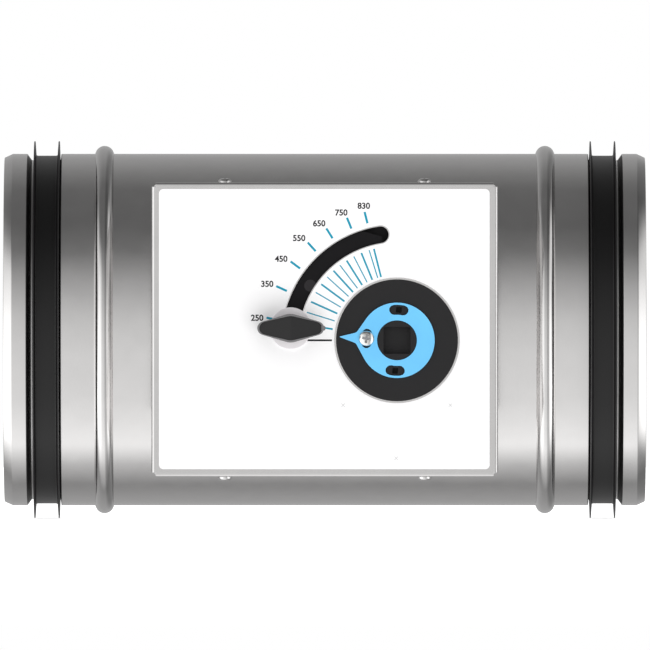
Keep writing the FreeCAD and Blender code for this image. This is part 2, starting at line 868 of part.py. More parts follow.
def spring_sections():
    """Square wire sections from the leg at the crank's pin, up the coil, to the lever's post.

    The coil climbs clockwise; each leg runs along the coil's tangent on the inside of its pin.
    """
    first_reach, first_turn = leg_lean(spring_pin_radius, spring_pin_r)
    last_reach, last_turn = leg_lean(post_radius, post_r)
    start = crank_angle - first_turn
    end = 180 - slot_start + last_turn
    sweep = start - end
    while sweep < 360 * spring_turns:
        sweep += 360
    chords = round(sweep / 360 * chords_per_turn)
    climb = spring_top - spring_floor
    places = [(start, first_reach + leg_tail, 0.0)]
    for chord in range(chords + 1):
        share = chord / chords
        places.append((start - sweep * share, 0.0, climb * share))
    places.append((start - sweep, -last_reach - leg_tail, climb))
    half = wire / 2
    sections = []
    for angle, along, rise in places:
        shift = about_axis(along, angle + 90) - about_axis(0, 0)
        section = []
        for radius, level in ((-half, -half), (half, -half), (half, half), (-half, half)):
            height = spring_floor + rise + level
            section.append(about_axis(spring_r + radius, angle, height) + shift)
        sections.append(section)
    return sections


def make_torsion_spring():
    """A wound spring of square wire, as one closed skin over its sections."""
    sections = spring_sections()
    faces = [Part.Face(Part.makePolygon(end + end[:1])) for end in (sections[0], sections[-1])]
    for near, far in zip(sections, sections[1:]):
        for corner in range(4):
            after = (corner + 1) % 4
            for three in ((near[corner], near[after], far[after]),
                          (near[corner], far[after], far[corner])):
                faces.append(Part.Face(Part.makePolygon([three[0], three[1], three[2], three[0]])))
    skin = Part.makeShell(faces)
    skin.sewShape()
    spring = Part.makeSolid(skin)
    spring.fixTolerance(1e-6)
    if spring.Volume < 0:
        spring.reverse()
    return spring.removeSplitter()


# Damping bellows

def bellows_side(foot_x, head_x, foot_y, head_y, inward):
    """A folded edge from the bracket up to the blade."""
    points = []
    for fold in range(2 * bellows_folds + 1):
        share = fold / (2 * bellows_folds)
        step = fold_depth * (fold % 2)
        points.append((foot_x + (head_x - foot_x) * share + inward * step,
                       foot_y + (head_y - foot_y) * share))
    return points


def blade_point(u, n):
    """A point given along and above the blade when it is at rest."""
    turn = math.radians(rest_angle)
    return (axis_x + u * math.cos(turn) - n * math.sin(turn),
            axis_y + u * math.sin(turn) + n * math.cos(turn))


def make_damping_bellows():
    foot = axis_y - bracket_drop + seat_gap
    near_x, near_y = blade_point(bellows_inner, bellows_top_n - seat_gap)
    far_x, far_y = blade_point(bellows_outer, bellows_top_n - seat_gap)
    inner = bellows_side(axis_x + bellows_inner, near_x, foot, near_y, 1)
    outer = bellows_side(axis_x + bellows_outer, far_x, foot, far_y, -1)
    return polygon(inner + outer[::-1], -bellows_half, bellows_half)


def make_bellows_clamp_plate():
    """A plate that holds the bellows against the blade's underside."""
    level = axis_y + bellows_top_n
    half = bellows_half + bracket_margin
    plate = block(axis_x + bellows_inner - bracket_margin, axis_x + bellows_outer + bracket_margin,
                  level, level + clamp_plate_t - seat_gap, -half, half)
    return turned(plate, rest_angle)


def make_bellows_bracket():
    """A fixed table under the bellows, on a web with a curved foot."""
    top = axis_y - bracket_drop
    half = bellows_half + bracket_margin
    table = block(axis_x + bellows_inner - bracket_margin, axis_x + bellows_outer + bracket_margin,
                  top - bracket_t, top, -half, half)
    low_x = axis_x + bellows_inner + web_margin
    high_x = axis_x + bellows_outer - web_margin
    seat_r = duct_inner_r - seat_gap
    web = block(low_x, high_x, -duct_r, top - bracket_t / 2, -web_t / 2, web_t / 2)
    foot = duct_cylinder(seat_r).cut(duct_cylinder(seat_r - bracket_t))
    foot = foot.common(block(low_x, high_x, -duct_r, 0, -bracket_foot_half, bracket_foot_half))
    bracket = merged([table, web.common(duct_cylinder(seat_r)), foot])
    return bracket


def upright(shape):
    """The drawing's y becomes the real z, and its z becomes the real -y."""
    copy = shape.copy()
    copy.rotate(Vector(0, 0, 0), Vector(1, 0, 0), 90)
    return copy


def main():
    os.makedirs("parts", exist_ok=True)
    pieces = {
        "duct_casing": make_duct_casing(),
        "lip_seals": Part.makeCompound([make_lip_seal(inlet_edge, -1), make_lip_seal(outlet_edge, 1)]),
        "console_base": make_console_base(),
        "console_cover": make_console_cover(),
        "cover_screws": make_cover_screws(),
        "setting_dial": make_setting_dial(),
        "setting_lever": make_setting_lever(),
        "slide_washer": make_slide_washer(),
        "clamp_knob": make_clamp_knob(),
        "pointer_ring": make_pointer_ring(),
        "pointer_screw": make_pointer_screw(),
        "blade_shaft": make_blade_shaft(),
        "damper_blade": make_damper_blade(),
        "blade_screws": make_blade_screws(),
        "shaft_bearings": make_shaft_bearings(),
        "bearing_nuts": make_bearing_nuts(),
        "crank_arm": make_crank_arm(),
        "crank_grub_screw": make_crank_grub_screw(),
        "balance_weight": make_balance_weight(),
        "blade_stops": make_blade_stops(),
        "torsion_spring": make_torsion_spring(),
        "damping_bellows": make_damping_bellows(),
        "bellows_clamp_plate": make_bellows_clamp_plate(),
        "bellows_bracket": make_bellows_bracket(),
    }
    for name, shape in pieces.items():
        upright(shape).exportStep("parts/" + name + ".step")


if __name__ == "__main__":
    main()
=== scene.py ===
"""Looks of a constant air volume regulator for a round duct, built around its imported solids.

All lengths in the code are metres unless a name or comment says millimetres.
+X runs along the duct, +Z is up and the setting console faces -Y.
"""

import logging
import math
from dataclasses import dataclass
from enum import Enum
from functools import cache
from typing import Callable, Iterable, Optional, Sequence

import bmesh
import bpy
import numpy as np
from mathutils import Matrix


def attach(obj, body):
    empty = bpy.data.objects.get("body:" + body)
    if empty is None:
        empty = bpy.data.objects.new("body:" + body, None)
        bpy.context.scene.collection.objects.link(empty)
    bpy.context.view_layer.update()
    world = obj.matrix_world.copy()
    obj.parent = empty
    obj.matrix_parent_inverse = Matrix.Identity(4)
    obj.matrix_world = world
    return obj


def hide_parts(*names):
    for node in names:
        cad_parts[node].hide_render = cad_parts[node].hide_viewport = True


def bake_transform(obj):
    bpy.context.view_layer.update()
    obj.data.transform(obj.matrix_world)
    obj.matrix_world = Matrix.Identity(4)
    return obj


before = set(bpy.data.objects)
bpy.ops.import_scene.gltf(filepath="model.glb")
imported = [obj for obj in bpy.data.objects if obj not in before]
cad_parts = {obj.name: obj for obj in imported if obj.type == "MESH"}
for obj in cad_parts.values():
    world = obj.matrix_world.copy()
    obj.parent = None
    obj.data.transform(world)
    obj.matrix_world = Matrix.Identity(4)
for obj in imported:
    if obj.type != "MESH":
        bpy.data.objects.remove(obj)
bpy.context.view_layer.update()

LOG = logging.getLogger("regulator")
MM = 0.001
TURN = 2 * math.pi

# Places that the whole part shares, in millimetres
MID_X = -172.35
AXIS_X = -131.75
AXIS_Z = -6.0
DUCT_R = 99.5
COVER_FACE = 130.0

# Edges that bend by more than this stay sharp, in degrees
SHARP_DEG = 32.0

# Points nearer than this are one, and edges shorter than the second are none, in metres
SAME_POINT = 1e-7
NO_EDGE = 1e-8

# The same for a solid's mesh, whose flat faces are also made one where they bend by less, in degrees
SAME_SOLID_POINT = 2e-6
FLAT_DEG = 0.4


class Body(str, Enum):
    """The rigid bodies that the joints connect."""

    DUCT = "duct"
    BLADE = "blade"
    SETTING = "setting"
    POINTER = "pointer"
    KNOB = "knob"


# Mesh helpers


def grid_quads(rows: int, columns: int, wrap_rows: bool, wrap_columns: bool) -> np.ndarray:
    """Quads of a grid of points numbered row by row.

    Quad (i, j) joins points (i, j), (i, j+1), (i+1, j+1) and (i+1, j), with the last row or
    column joined to the first where that way is closed.

    Args:
        rows: Number of rows.
        columns: Number of columns.
        wrap_rows: Whether the last row joins the first.
        wrap_columns: Whether the last column joins the first.

    Returns:
        An array of quads, four point numbers each.
    """
    i = np.arange(rows if wrap_rows else rows - 1)
    j = np.arange(columns if wrap_columns else columns - 1)
    a, b = np.meshgrid(i, j, indexing="ij")
    a, b = a.ravel(), b.ravel()
    a2, b2 = (a + 1) % rows, (b + 1) % columns
    return np.stack([a * columns + b, a * columns + b2, a2 * columns + b2, a2 * columns + b], axis=1)


def tidy(mesh: bpy.types.Mesh, sharp_deg: float) -> None:
    """Merges doubled points, drops empty faces, turns faces outwards and marks sharp edges.

    Args:
        mesh: The mesh to finish.
        sharp_deg: Edges that bend by more than this stay sharp, in degrees.
    """
    work = bmesh.new()
    work.from_mesh(mesh)
    bmesh.ops.remove_doubles(work, verts=work.verts, dist=SAME_POINT)
    bmesh.ops.dissolve_degenerate(work, edges=work.edges, dist=NO_EDGE)
    bmesh.ops.recalc_face_normals(work, faces=work.faces)
    work.to_mesh(mesh)
    work.free()
    smooth(mesh, sharp_deg)


def smooth(mesh: bpy.types.Mesh, sharp_deg: float = SHARP_DEG) -> None:
    """Shades a mesh smooth, except over edges that bend by more than an angle in degrees."""
    mesh.shade_smooth()
    mesh.set_sharp_from_angle(angle=math.radians(sharp_deg))


def linked(name: str, data: bpy.types.ID) -> bpy.types.Object:
    """A new object at the origin, in the scene.

    Args:
        name: Name of the object.
        data: Its mesh, curve, lamp or camera.

    Returns:
        The object.
    """
    holder = bpy.data.objects.new(name, data)
    bpy.context.scene.collection.objects.link(holder)
    return holder


def mesh_piece(name: str, points: np.ndarray, faces: Sequence[Sequence[int]],
               sharp_deg: float = 35.0) -> bpy.types.Object:
    """A new object from points and faces, already in place in the shared frame.

    Args:
        name: Name of the object.
        points: Points, three columns.
        faces: Point numbers of each face.
        sharp_deg: Edges that bend by more than this stay sharp, in degrees.

    Returns:
        The linked object, at the origin.
    """
    mesh = bpy.data.meshes.new(name)
    mesh.from_pydata(np.asarray(points, float).tolist(), [], np.asarray(faces).tolist())
    tidy(mesh, sharp_deg)
    return linked(name, mesh)


def along_duct(axial: np.ndarray, radius: np.ndarray, turn: np.ndarray) -> np.ndarray:
    """Points about the duct's axis: x is the axial place, (y, z) the radius at that turn."""
    return np.stack([axial, radius * np.sin(turn), radius * np.cos(turn)], axis=-1)


def off_console(centre: tuple[float, float]) -> Callable[[np.ndarray, np.ndarray, np.ndarray], np.ndarray]:
    """How a shape about an axis through the console becomes points.

    Args:
        centre: x and z of the axis, in millimetres.

    Returns:
        A function of height in front of the duct's axis, radius and turn, in millimetres
        and radians, that gives points in metres: x and z go round the axis and y is minus the height.
    """
    def place(height: np.ndarray, radius: np.ndarray, turn: np.ndarray) -> np.ndarray:
        """Points for matching arrays of height, radius and turn, in three columns."""
        return MM * np.stack([centre[0] + radius * np.cos(turn), -height + 0 * turn,
                              centre[1] + radius * np.sin(turn)], axis=-1)
    return place


def revolved(name: str, profile: np.ndarray, place: Callable, segments: int, closed: bool,
             sharp_deg: float = 35.0) -> bpy.types.Object:
    """A surface of revolution: profile row i at turn j is place(axial_i, radius_i, turn_j).

    Args:
        name: Name of the piece.
        profile: Two columns, the place along the axis and the radius.
        place: Gives points from axial place, radius and turn.
        segments: Number of steps round the axis.
        closed: Whether the profile is a closed loop; otherwise it runs from axis to axis.
        sharp_deg: Edges that bend by more than this stay sharp, in degrees.

    Returns:
        The piece.
    """
    turn = np.arange(segments) * TURN / segments
    axial, around = np.meshgrid(profile[:, 0], turn, indexing="ij")
    radius = np.repeat(profile[:, 1][:, None], segments, axis=1)
    points = place(axial, radius, around).reshape(-1, 3)
    return mesh_piece(name, points, grid_quads(len(profile), segments, closed, True), sharp_deg)


def eased(points: Sequence[tuple[float, float]], radius: float, steps: int = 5,
          closed: bool = True) -> np.ndarray:
    """A line with its corners rounded by quadratic curves that start a little before each corner.

    Each corner p becomes (1-t)^2 a + 2t(1-t) p + t^2 b, where a and b lie on its two sides at the
    given distance or at just under half of the side, whichever is less.

    Args:
        points: Corners of the line.
        radius: Distance from the corner at which the rounding starts.
        steps: Points on each rounding.
        closed: Whether the last corner joins the first.

    Returns:
        The rounded line, two columns.
    """
    most = 0.45  # share of a side that one rounding may take
    corner = np.asarray(points, float)
    before = np.roll(corner, 1, axis=0) - corner
    after = np.roll(corner, -1, axis=0) - corner
    size_b = np.linalg.norm(before, axis=1, keepdims=True) + 1e-12
    size_a = np.linalg.norm(after, axis=1, keepdims=True) + 1e-12
    cut_b = corner + before / size_b * np.minimum(radius, most * size_b)
    cut_a = corner + after / size_a * np.minimum(radius, most * size_a)
    t = np.linspace(0, 1, steps)[None, :, None]
    curve = (1 - t) ** 2 * cut_b[:, None] + 2 * t * (1 - t) * corner[:, None] + t ** 2 * cut_a[:, None]
    if not closed:
        return np.vstack([corner[:1], curve[1:-1].reshape(-1, 2), corner[-1:]])
    return curve.reshape(-1, 2)


def circle(x: float, y: float, radius: float, count: int = 128) -> np.ndarray:
    """A circle as count points, two columns."""
    turn = np.arange(count) * TURN / count
    return np.stack([x + radius * np.cos(turn), y + radius * np.sin(turn)], axis=1)


def rounded_rectangle(x: float, y: float, width: float, height: float, corner: float,
                      steps: int = 12) -> np.ndarray:
    """A rectangle's outline with quarter circles for corners.

    Args:
        x: Middle, across.
        y: Middle, up.
        width: Size across.
        height: Size up.
        corner: Radius of the corners.
        steps: Points on each corner.

    Returns:
        The outline, two columns.
    """
    quarter = np.linspace(0, math.pi / 2, steps)
    parts = []
    for k, (sx, sy) in enumerate(((1, 1), (-1, 1), (-1, -1), (1, -1))):
        turn = quarter + k * math.pi / 2
        parts.append(np.stack([x + sx * (width / 2 - corner) + corner * np.cos(turn),
                               y + sy * (height / 2 - corner) + corner * np.sin(turn)], axis=1))
    return np.vstack(parts)


def dial_point(radius: np.ndarray, clockwise_deg: np.ndarray) -> np.ndarray:
    """Points about the dial's axis in the console's plane, in mm; angles clockwise from the left."""
    turn = np.radians(clockwise_deg)
    return np.stack([AXIS_X - radius * np.cos(turn), AXIS_Z + radius * np.sin(turn)], axis=-1)


def arc_slot(radius: float, half: float, start: float, end: float, steps: int = 40) -> np.ndarray:
    """Outline of a round-ended slot along an arc about the dial's axis.

    The two long sides lie at radius plus and minus half, and each end is a half circle of radius
    half about the end of the middle arc.

    Args:
        radius: Radius of the middle arc.
        half: Half of the slot's width.
        start: Angle of the first end, clockwise from the left, in degrees.
        end: Angle of the other end.
        steps: Points on each long side.

    Returns:
        The outline, two columns.
    """
    along = np.linspace(start, end, steps)
    cap = np.linspace(0, math.pi, steps // 2)[1:-1]
    far = dial_point(np.full(steps, radius + half), along)
    near = dial_point(np.full(steps, radius - half), along[::-1])
    end_cap = dial_point(radius + half * np.cos(cap), end + np.degrees(half * np.sin(cap) / radius))
    start_cap = dial_point(radius - half * np.cos(cap), start - np.degrees(half * np.sin(cap) / radius))
    return np.vstack([far, end_cap, near, start_cap])


def cross_outline(reach: float, width: float, turn_deg: float) -> np.ndarray:
    """A turned cross's outline about nought.

    Args:
        reach: Way from the middle to an arm's end.
        width: Width of the arms.
        turn_deg: Turn of the arms, clockwise seen from the console's front.

    Returns:
        The outline, two columns.
    """
    w = width / 2
    corner = np.array([(w, w), (reach, w), (reach, -w), (w, -w), (w, -reach), (-w, -reach), (-w, -w),
                       (-reach, -w), (-reach, w), (-w, w), (-w, reach), (w, reach)])
    c, s = math.cos(math.radians(turn_deg)), math.sin(math.radians(turn_deg))
    return corner @ np.array([(c, -s), (s, c)])


def plate(name: str, outlines: Iterable[np.ndarray], low: float, high: float) -> bpy.types.Object:
    """A flat plate in front of the console from outlines, inner ones being holes.

    Args:
        name: Name of the piece.
        outlines: Closed lines in the console's plane, in millimetres.
        low: Height of the back face in front of the duct's axis, in millimetres.
        high: Height of the front face.

    Returns:
        The piece.
    """
    curve = bpy.data.curves.new(name, "CURVE")
    curve.dimensions, curve.fill_mode = "2D", "BOTH"
    curve.extrude = (high - low) / 2
    for outline in outlines:
        spline = curve.splines.new("POLY")
        spline.points.add(len(outline) - 1)
        four = np.hstack([outline, np.zeros((len(outline), 1)), np.ones((len(outline), 1))])
        spline.points.foreach_set("co", four.ravel())
        spline.use_cyclic_u = True
    return from_curve(name, curve, (low + high) / 2)


def from_curve(name: str, curve: bpy.types.Curve, height: float) -> bpy.types.Object:
    """The mesh of a flat curve or text, stood up in the console's plane.

    Args:
        name: Name of the piece.
        curve: The curve, drawn in millimetres; it is removed.
        height: Height of its middle in front of the duct's axis, in millimetres.

    Returns:
        The piece.
    """
    holder = linked(name + "_line", curve)
    bpy.context.view_layer.update()
    mesh = bpy.data.meshes.new_from_object(holder.evaluated_get(bpy.context.evaluated_depsgraph_get()))
    bpy.data.objects.remove(holder)
    mesh.name = name
    flat = np.zeros(len(mesh.vertices) * 3)
    mesh.vertices.foreach_get("co", flat)
    flat = flat.reshape(-1, 3)
    stood = MM * np.stack([flat[:, 0], -(flat[:, 2] + height), flat[:, 1]], axis=1)
    mesh.vertices.foreach_set("co", stood.ravel())
    tidy(mesh, 30.0)
    return linked(name, mesh)


def bevelled(piece: bpy.types.Object, width_mm: float, segments: int = 2) -> bpy.types.Object:
    """Gives a piece's sharp edges a small round.

    Args:
        piece: The piece.
        width_mm: Width of the round, in millimetres.
        segments: Steps across it.

    Returns:
        The same piece.
    """
    bevel = piece.modifiers.new("edge_round", "BEVEL")
    bevel.width = width_mm * MM
    bevel.segments = segments
    bevel.limit_method = "ANGLE"
    bevel.angle_limit = math.radians(SHARP_DEG)
    bevel.use_clamp_overlap = True
    bevel.harden_normals = True
    return piece


def softened(node: str, width_mm: float) -> bpy.types.Object:
    """A copy of a solid with merged points and rounded edges, which stands for it.

    Args:
        node: Name of the solid.
        width_mm: Width of the rounded edges, in millimetres.

    Returns:
        The new piece.
    """
    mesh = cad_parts[node].data.copy()
    mesh.name = node + "_dressed"
    work = bmesh.new()
    work.from_mesh(mesh)
    bmesh.ops.remove_doubles(work, verts=work.verts, dist=SAME_SOLID_POINT)
    flat = math.radians(FLAT_DEG)
    bmesh.ops.dissolve_limit(work, angle_limit=flat, verts=work.verts, edges=work.edges)
    bmesh.ops.recalc_face_normals(work, faces=work.faces)
    work.to_mesh(mesh)
    work.free()
    smooth(mesh)
    piece = bevelled(linked(mesh.name, mesh), width_mm)
    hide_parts(node)
    return piece


def joined(name: str, pieces: Sequence[bpy.types.Object]) -> bpy.types.Object:
    """Several meshes as one object.

    Args:
        name: Name of the result.
        pieces: Objects whose meshes are joined; they are removed.

    Returns:
        The joined object.
    """
    work = bmesh.new()
    for piece in pieces:
        work.from_mesh(piece.data)
    mesh = bpy.data.meshes.new(name)
    work.to_mesh(mesh)
    work.free()
    for piece in pieces:
        bpy.data.objects.remove(piece)
    smooth(mesh)
    return linked(name, mesh)


# Finishes

# Tone of bare metal at worn edges, and roughness that full dust adds
BARE_TONE = 1.25
DUST_ROUGHNESS = 0.3

# What a full rolling line adds to a sheet's shade, roughness and height
LINE_SHADE = 0.12
LINE_ROUGHNESS = 0.06
LINE_HEIGHT = 0.8

# Height that the bump stands for, in metres
BUMP_HEIGHT = 0.0002


class Tree:
    """A thin wrapper that adds nodes to a node tree and links them."""

    def __init__(self, tree: bpy.types.NodeTree) -> None:
        """Keeps the node tree to fill."""
        self.tree = tree

    def add(self, kind: str, inputs: Optional[dict] = None, **settings: object) -> bpy.types.Node:
        """Adds one node.

        Args:
            kind: Blender's name of the node's type.
            inputs: Values or sockets for its inputs, by name or number.
            **settings: Properties of the node.

        Returns:
            The node.
        """
        node = self.tree.nodes.new(kind)
        for key, value in settings.items():
            setattr(node, key, value)
        for key, value in (inputs or {}).items():
            if isinstance(value, bpy.types.NodeSocket):
                self.link(value, node.inputs[key])
            else:
                node.inputs[key].default_value = value
        return node

    def link(self, source: bpy.types.NodeSocket, target: bpy.types.NodeSocket) -> None:
        """Links an output to an input."""
        self.tree.links.new(source, target)

    def effect(self, group: bpy.types.NodeTree, **values: object) -> bpy.types.bpy_prop_collection:
        """The outputs of a shared node group, placed with its own values."""
        return self.add("ShaderNodeGroup", values, node_tree=group).outputs

    def math(self, operation: str, *values: object, clamp: bool = False) -> bpy.types.NodeSocket:
        """The result of one math node on sockets or numbers."""
        node = self.add("ShaderNodeMath", dict(enumerate(values)), operation=operation, use_clamp=clamp)
        return node.outputs[0]

    def blend(self, share: object, first: object, second: object) -> bpy.types.NodeSocket:
        """A mix of two colours, each a socket or four numbers."""
        node = self.add("ShaderNodeMix", {0: share, 6: first, 7: second}, data_type="RGBA")
        return node.outputs[2]

    def step(self, value: object, start: float, end: float, high: float = 1.0) -> bpy.types.NodeSocket:
        """A smooth step of a value, from nought at the start to its height at the end."""
        ends = {0: value, 1: start, 2: end, 4: high}
        return self.add("ShaderNodeMapRange", ends, interpolation_type="SMOOTHSTEP").outputs[0]

    def coordinates(self) -> bpy.types.NodeSocket:
        """The Object coordinates."""
        return self.add("ShaderNodeTexCoord").outputs["Object"]

    def noise(self, place: bpy.types.NodeSocket, scale: object, detail: float,
              roughness: float = 0.5) -> bpy.types.NodeSocket:
        """The value of a noise at a place; its scale may be a number or a socket."""
        inputs = {"Vector": place, "Scale": scale, "Detail": detail, "Roughness": roughness}
        return self.add("ShaderNodeTexNoise", inputs).outputs["Fac"]


class Effect(Tree):
    """A shader node group while it is being filled: it puts out values that change over the surface."""

    def __init__(self, name: str, outputs: Sequence[str], **inputs: object) -> None:
        """Starts the group.

        Args:
            name: Name of the group.
            outputs: Names of its outputs.
            **inputs: Default value of each input, a number or three of them.
        """
        super().__init__(bpy.data.node_groups.new(name, "ShaderNodeTree"))
        for key, value in inputs.items():
            kind = "NodeSocketVector" if isinstance(value, tuple) else "NodeSocketFloat"
            self.tree.interface.new_socket(name=key, in_out="INPUT", socket_type=kind).default_value = value
        for key in outputs:
            self.tree.interface.new_socket(name=key, in_out="OUTPUT", socket_type="NodeSocketFloat")
        self.given = self.add("NodeGroupInput").outputs
        self.out = self.add("NodeGroupOutput").inputs


@cache
def fine_grain() -> bpy.types.NodeTree:
    """Fine pitted grain: two sizes of noise give a height and a patchy mask.

    Returns:
        The group.
    """
    effect = Effect("fine_grain", ("Height", "Patches"), Scale=2500.0)
    place, scale = effect.coordinates(), effect.given["Scale"]
    fine = effect.noise(place, scale, 3.0, 0.6)
    coarse = effect.noise(place, effect.math("MULTIPLY", scale, 0.035), 3.0)
    effect.link(fine, effect.out["Height"])
    effect.link(coarse, effect.out["Patches"])
    return effect.tree


@cache
def brushed_lines() -> bpy.types.NodeTree:
    """Rolling lines: noise stretched by a scale on each axis gives a height and a tone.

    Returns:
        The group.
    """
    effect = Effect("brushed_lines", ("Height", "Tone"), Stretch=(1.0, 1.0, 1.0))
    inputs = {"Vector": effect.coordinates(), "Scale": effect.given["Stretch"]}
    lines = effect.noise(effect.add("ShaderNodeMapping", inputs).outputs[0], 1.0, 4.0, 0.65)
    effect.link(lines, effect.out["Height"])
    effect.link(effect.math("MULTIPLY_ADD", lines, 1.6, -0.3, clamp=True), effect.out["Tone"])
    return effect.tree


@cache
def worn_edges() -> bpy.types.NodeTree:
    """Wear on edges: where a rounded normal leaves the true one, broken up by noise.

    Returns:
        The group.
    """
    effect = Effect("worn_edges", ("Mask",), Width=0.0005, Amount=6.0)
    rounded = effect.add("ShaderNodeBevel", {"Radius": effect.given["Width"]}, samples=4).outputs[0]
    true = effect.add("ShaderNodeNewGeometry").outputs["True Normal"]
    same = effect.add("ShaderNodeVectorMath", {0: rounded, 1: true}, operation="DOT_PRODUCT")
    edge = effect.math("SUBTRACT", 0.97, same.outputs["Value"], clamp=True)
    strength = effect.math("MULTIPLY", effect.noise(effect.coordinates(), 700.0, 4.0), effect.given["Amount"])
    wear = effect.math("MINIMUM", effect.math("MULTIPLY", edge, strength), 1.0)
    effect.link(wear, effect.out["Mask"])
    return effect.tree


@cache
def settled_dust() -> bpy.types.NodeTree:
    """Faint dust on faces that look up, in soft patches.

    Returns:
        The group.
    """
    effect = Effect("settled_dust", ("Mask",), Amount=0.1)
    normal = effect.add("ShaderNodeNewGeometry").outputs["Normal"]
    up = effect.add("ShaderNodeSeparateXYZ", {0: normal}).outputs["Z"]
    patches = effect.noise(effect.coordinates(), 60.0, 5.0)
    lying = effect.math("MULTIPLY", effect.math("MAXIMUM", up, 0.0), patches)
    effect.link(effect.math("MULTIPLY", lying, effect.given["Amount"], clamp=True), effect.out["Mask"])
    return effect.tree


class Weave(Enum):
    """How far a metal's rolling lines are stretched on each axis, which says how they run."""

    AROUND_DUCT = (2600.0, 9.0, 9.0)
    ALONG_X = (9.0, 2600.0, 2600.0)


@dataclass(frozen=True)
class Finish:
    """What all finishes share: one colour in faint patches, fine grain, worn edges and a little dust."""

    name: str
    slot: Optional[str]
    colour: tuple[float, float, float]
    roughness: float
    grain_scale: float
    grain_depth: float
    patch_change: float
    patch_gloss: float
    wear: float
    wear_colour: Optional[tuple[float, float, float]]
    dust: float
    dust_colour: tuple[float, float, float]

    def tone(self, factor: float) -> tuple[float, float, float, float]:
        """The colour made lighter or darker by a factor, as four numbers up to one."""
        return tuple(min(1.0, c * factor) for c in self.colour) + (1.0,)

    def constants(self) -> dict[str, float]:
        """Values that are set on the main shader's own sockets."""
        raise NotImplementedError

    def layer(self, tree: Tree, *below: bpy.types.NodeSocket) -> Sequence[bpy.types.NodeSocket]:
        """What a kind adds between patches and wear, to colour, roughness and height; here nothing."""
        return below

    def build(self) -> bpy.types.Material:
        """Makes the material.

        Returns:
            The material.
        """
        material, tree, surface = new_material(self.name)
        for socket, value in self.constants().items():
            surface.inputs[socket].default_value = value
        grain = tree.effect(fine_grain(), Scale=self.grain_scale)
        wear = tree.effect(worn_edges(), Amount=self.wear)["Mask"]
        dust = tree.effect(settled_dust(), Amount=self.dust)["Mask"]
        patches = grain["Patches"]
        colour = tree.blend(patches, self.tone(1 - self.patch_change), self.tone(1 + self.patch_change))
        rough = tree.math("MULTIPLY_ADD", patches, self.patch_gloss, self.roughness - self.patch_gloss / 2)
        colour, rough, height = self.layer(tree, colour, rough, grain["Height"])
        bare = self.wear_colour + (1.0,) if self.wear_colour else self.tone(BARE_TONE)
        colour = tree.blend(dust, tree.blend(wear, colour, bare), self.dust_colour + (1.0,))
        rough = tree.math("MULTIPLY_ADD", dust, DUST_ROUGHNESS, rough)
        finish_surface(tree, surface, colour, rough, height, self.grain_depth)
        return material


@dataclass(frozen=True)
class Metal(Finish):
    """A metal, with rolling lines where it is sheet; its worn edges are its own colour made brighter."""

    grain_scale: float = 2600.0
    grain_depth: float = 0.03
    patch_change: float = 0.05
    patch_gloss: float = 0.1
    wear: float = 3.0
    wear_colour: Optional[tuple[float, float, float]] = None
    dust: float = 0.05
    dust_colour: tuple[float, float, float] = (0.55, 0.54, 0.52)
    lines: Optional[Weave] = None

    def constants(self) -> dict[str, float]:
        """A metal is metallic all over."""
        return {"Metallic": 1.0}

    def layer(self, tree: Tree, *below: bpy.types.NodeSocket) -> Sequence[bpy.types.NodeSocket]:
        """Adds the rolling lines.

        Args:
            tree: The material's tree.
            *below: Sockets of colour, roughness and height.

        Returns:
            The same three with the lines.
        """
        if not self.lines:
            return below
        colour, rough, height = below
        lines = tree.effect(brushed_lines(), Stretch=self.lines.value)
        dark = self.tone(1 - self.patch_change)
        return (tree.blend(tree.math("MULTIPLY", lines["Tone"], LINE_SHADE), colour, dark),
                tree.math("MULTIPLY_ADD", lines["Tone"], LINE_ROUGHNESS, rough),
                tree.math("MULTIPLY_ADD", lines["Height"], LINE_HEIGHT, height))


@dataclass(frozen=True)
class Moulding(Finish):
    """A plastic or rubber."""

    grain_scale: float = 1800.0
    grain_depth: float = 0.08
    patch_change: float = 0.12
    patch_gloss: float = 0.12
    wear: float = 1.5
    wear_colour: Optional[tuple[float, float, float]] = (0.2, 0.2, 0.2)
    dust: float = 0.04
    dust_colour: tuple[float, float, float] = (0.6, 0.59, 0.57)
    specular: float = 0.5

    def constants(self) -> dict[str, float]:
        """A moulding isn't metallic and has its own strength of reflection."""
        return {"Metallic": 0.0, "Specular IOR Level": self.specular}


@dataclass(frozen=True)
class Paper(Moulding):
    """The label, or ink printed on it: smooth, evenly coloured and clean."""

    grain_scale: float = 3000.0
    grain_depth: float = 0.02
    patch_change: float = 0.05
    wear: float = 0.0
    dust: float = 0.01
    specular: float = 0.15


def new_material(name: str) -> tuple[bpy.types.Material, Tree, bpy.types.Node]:
    """An empty node material with its main shader.

    Args:
        name: Name of the material.

    Returns:
        The material, its tree and the shader node.
    """
    material = bpy.data.materials.new(name)
    material.use_nodes = True
    material.node_tree.nodes.clear()
    tree = Tree(material.node_tree)
    surface = tree.add("ShaderNodeBsdfPrincipled")
    tree.add("ShaderNodeOutputMaterial", {"Surface": surface.outputs[0]})
    return material, tree, surface


def finish_surface(tree: Tree, surface: bpy.types.Node, colour: bpy.types.NodeSocket,
                   rough: bpy.types.NodeSocket, height: bpy.types.NodeSocket, depth: float) -> None:
    """Links colour, roughness and a bumped normal to the shader.

    Args:
        tree: The material's tree.
        surface: Its main shader.
        colour: Socket of the colour.
        rough: Socket of the roughness.
        height: Socket of the height.
        depth: Strength of the bump.
    """
    bump = tree.add("ShaderNodeBump", {"Height": height, "Strength": depth, "Distance": BUMP_HEIGHT})
    tree.link(colour, surface.inputs["Base Color"])
    tree.link(rough, surface.inputs["Roughness"])
    tree.link(bump.outputs[0], surface.inputs["Normal"])


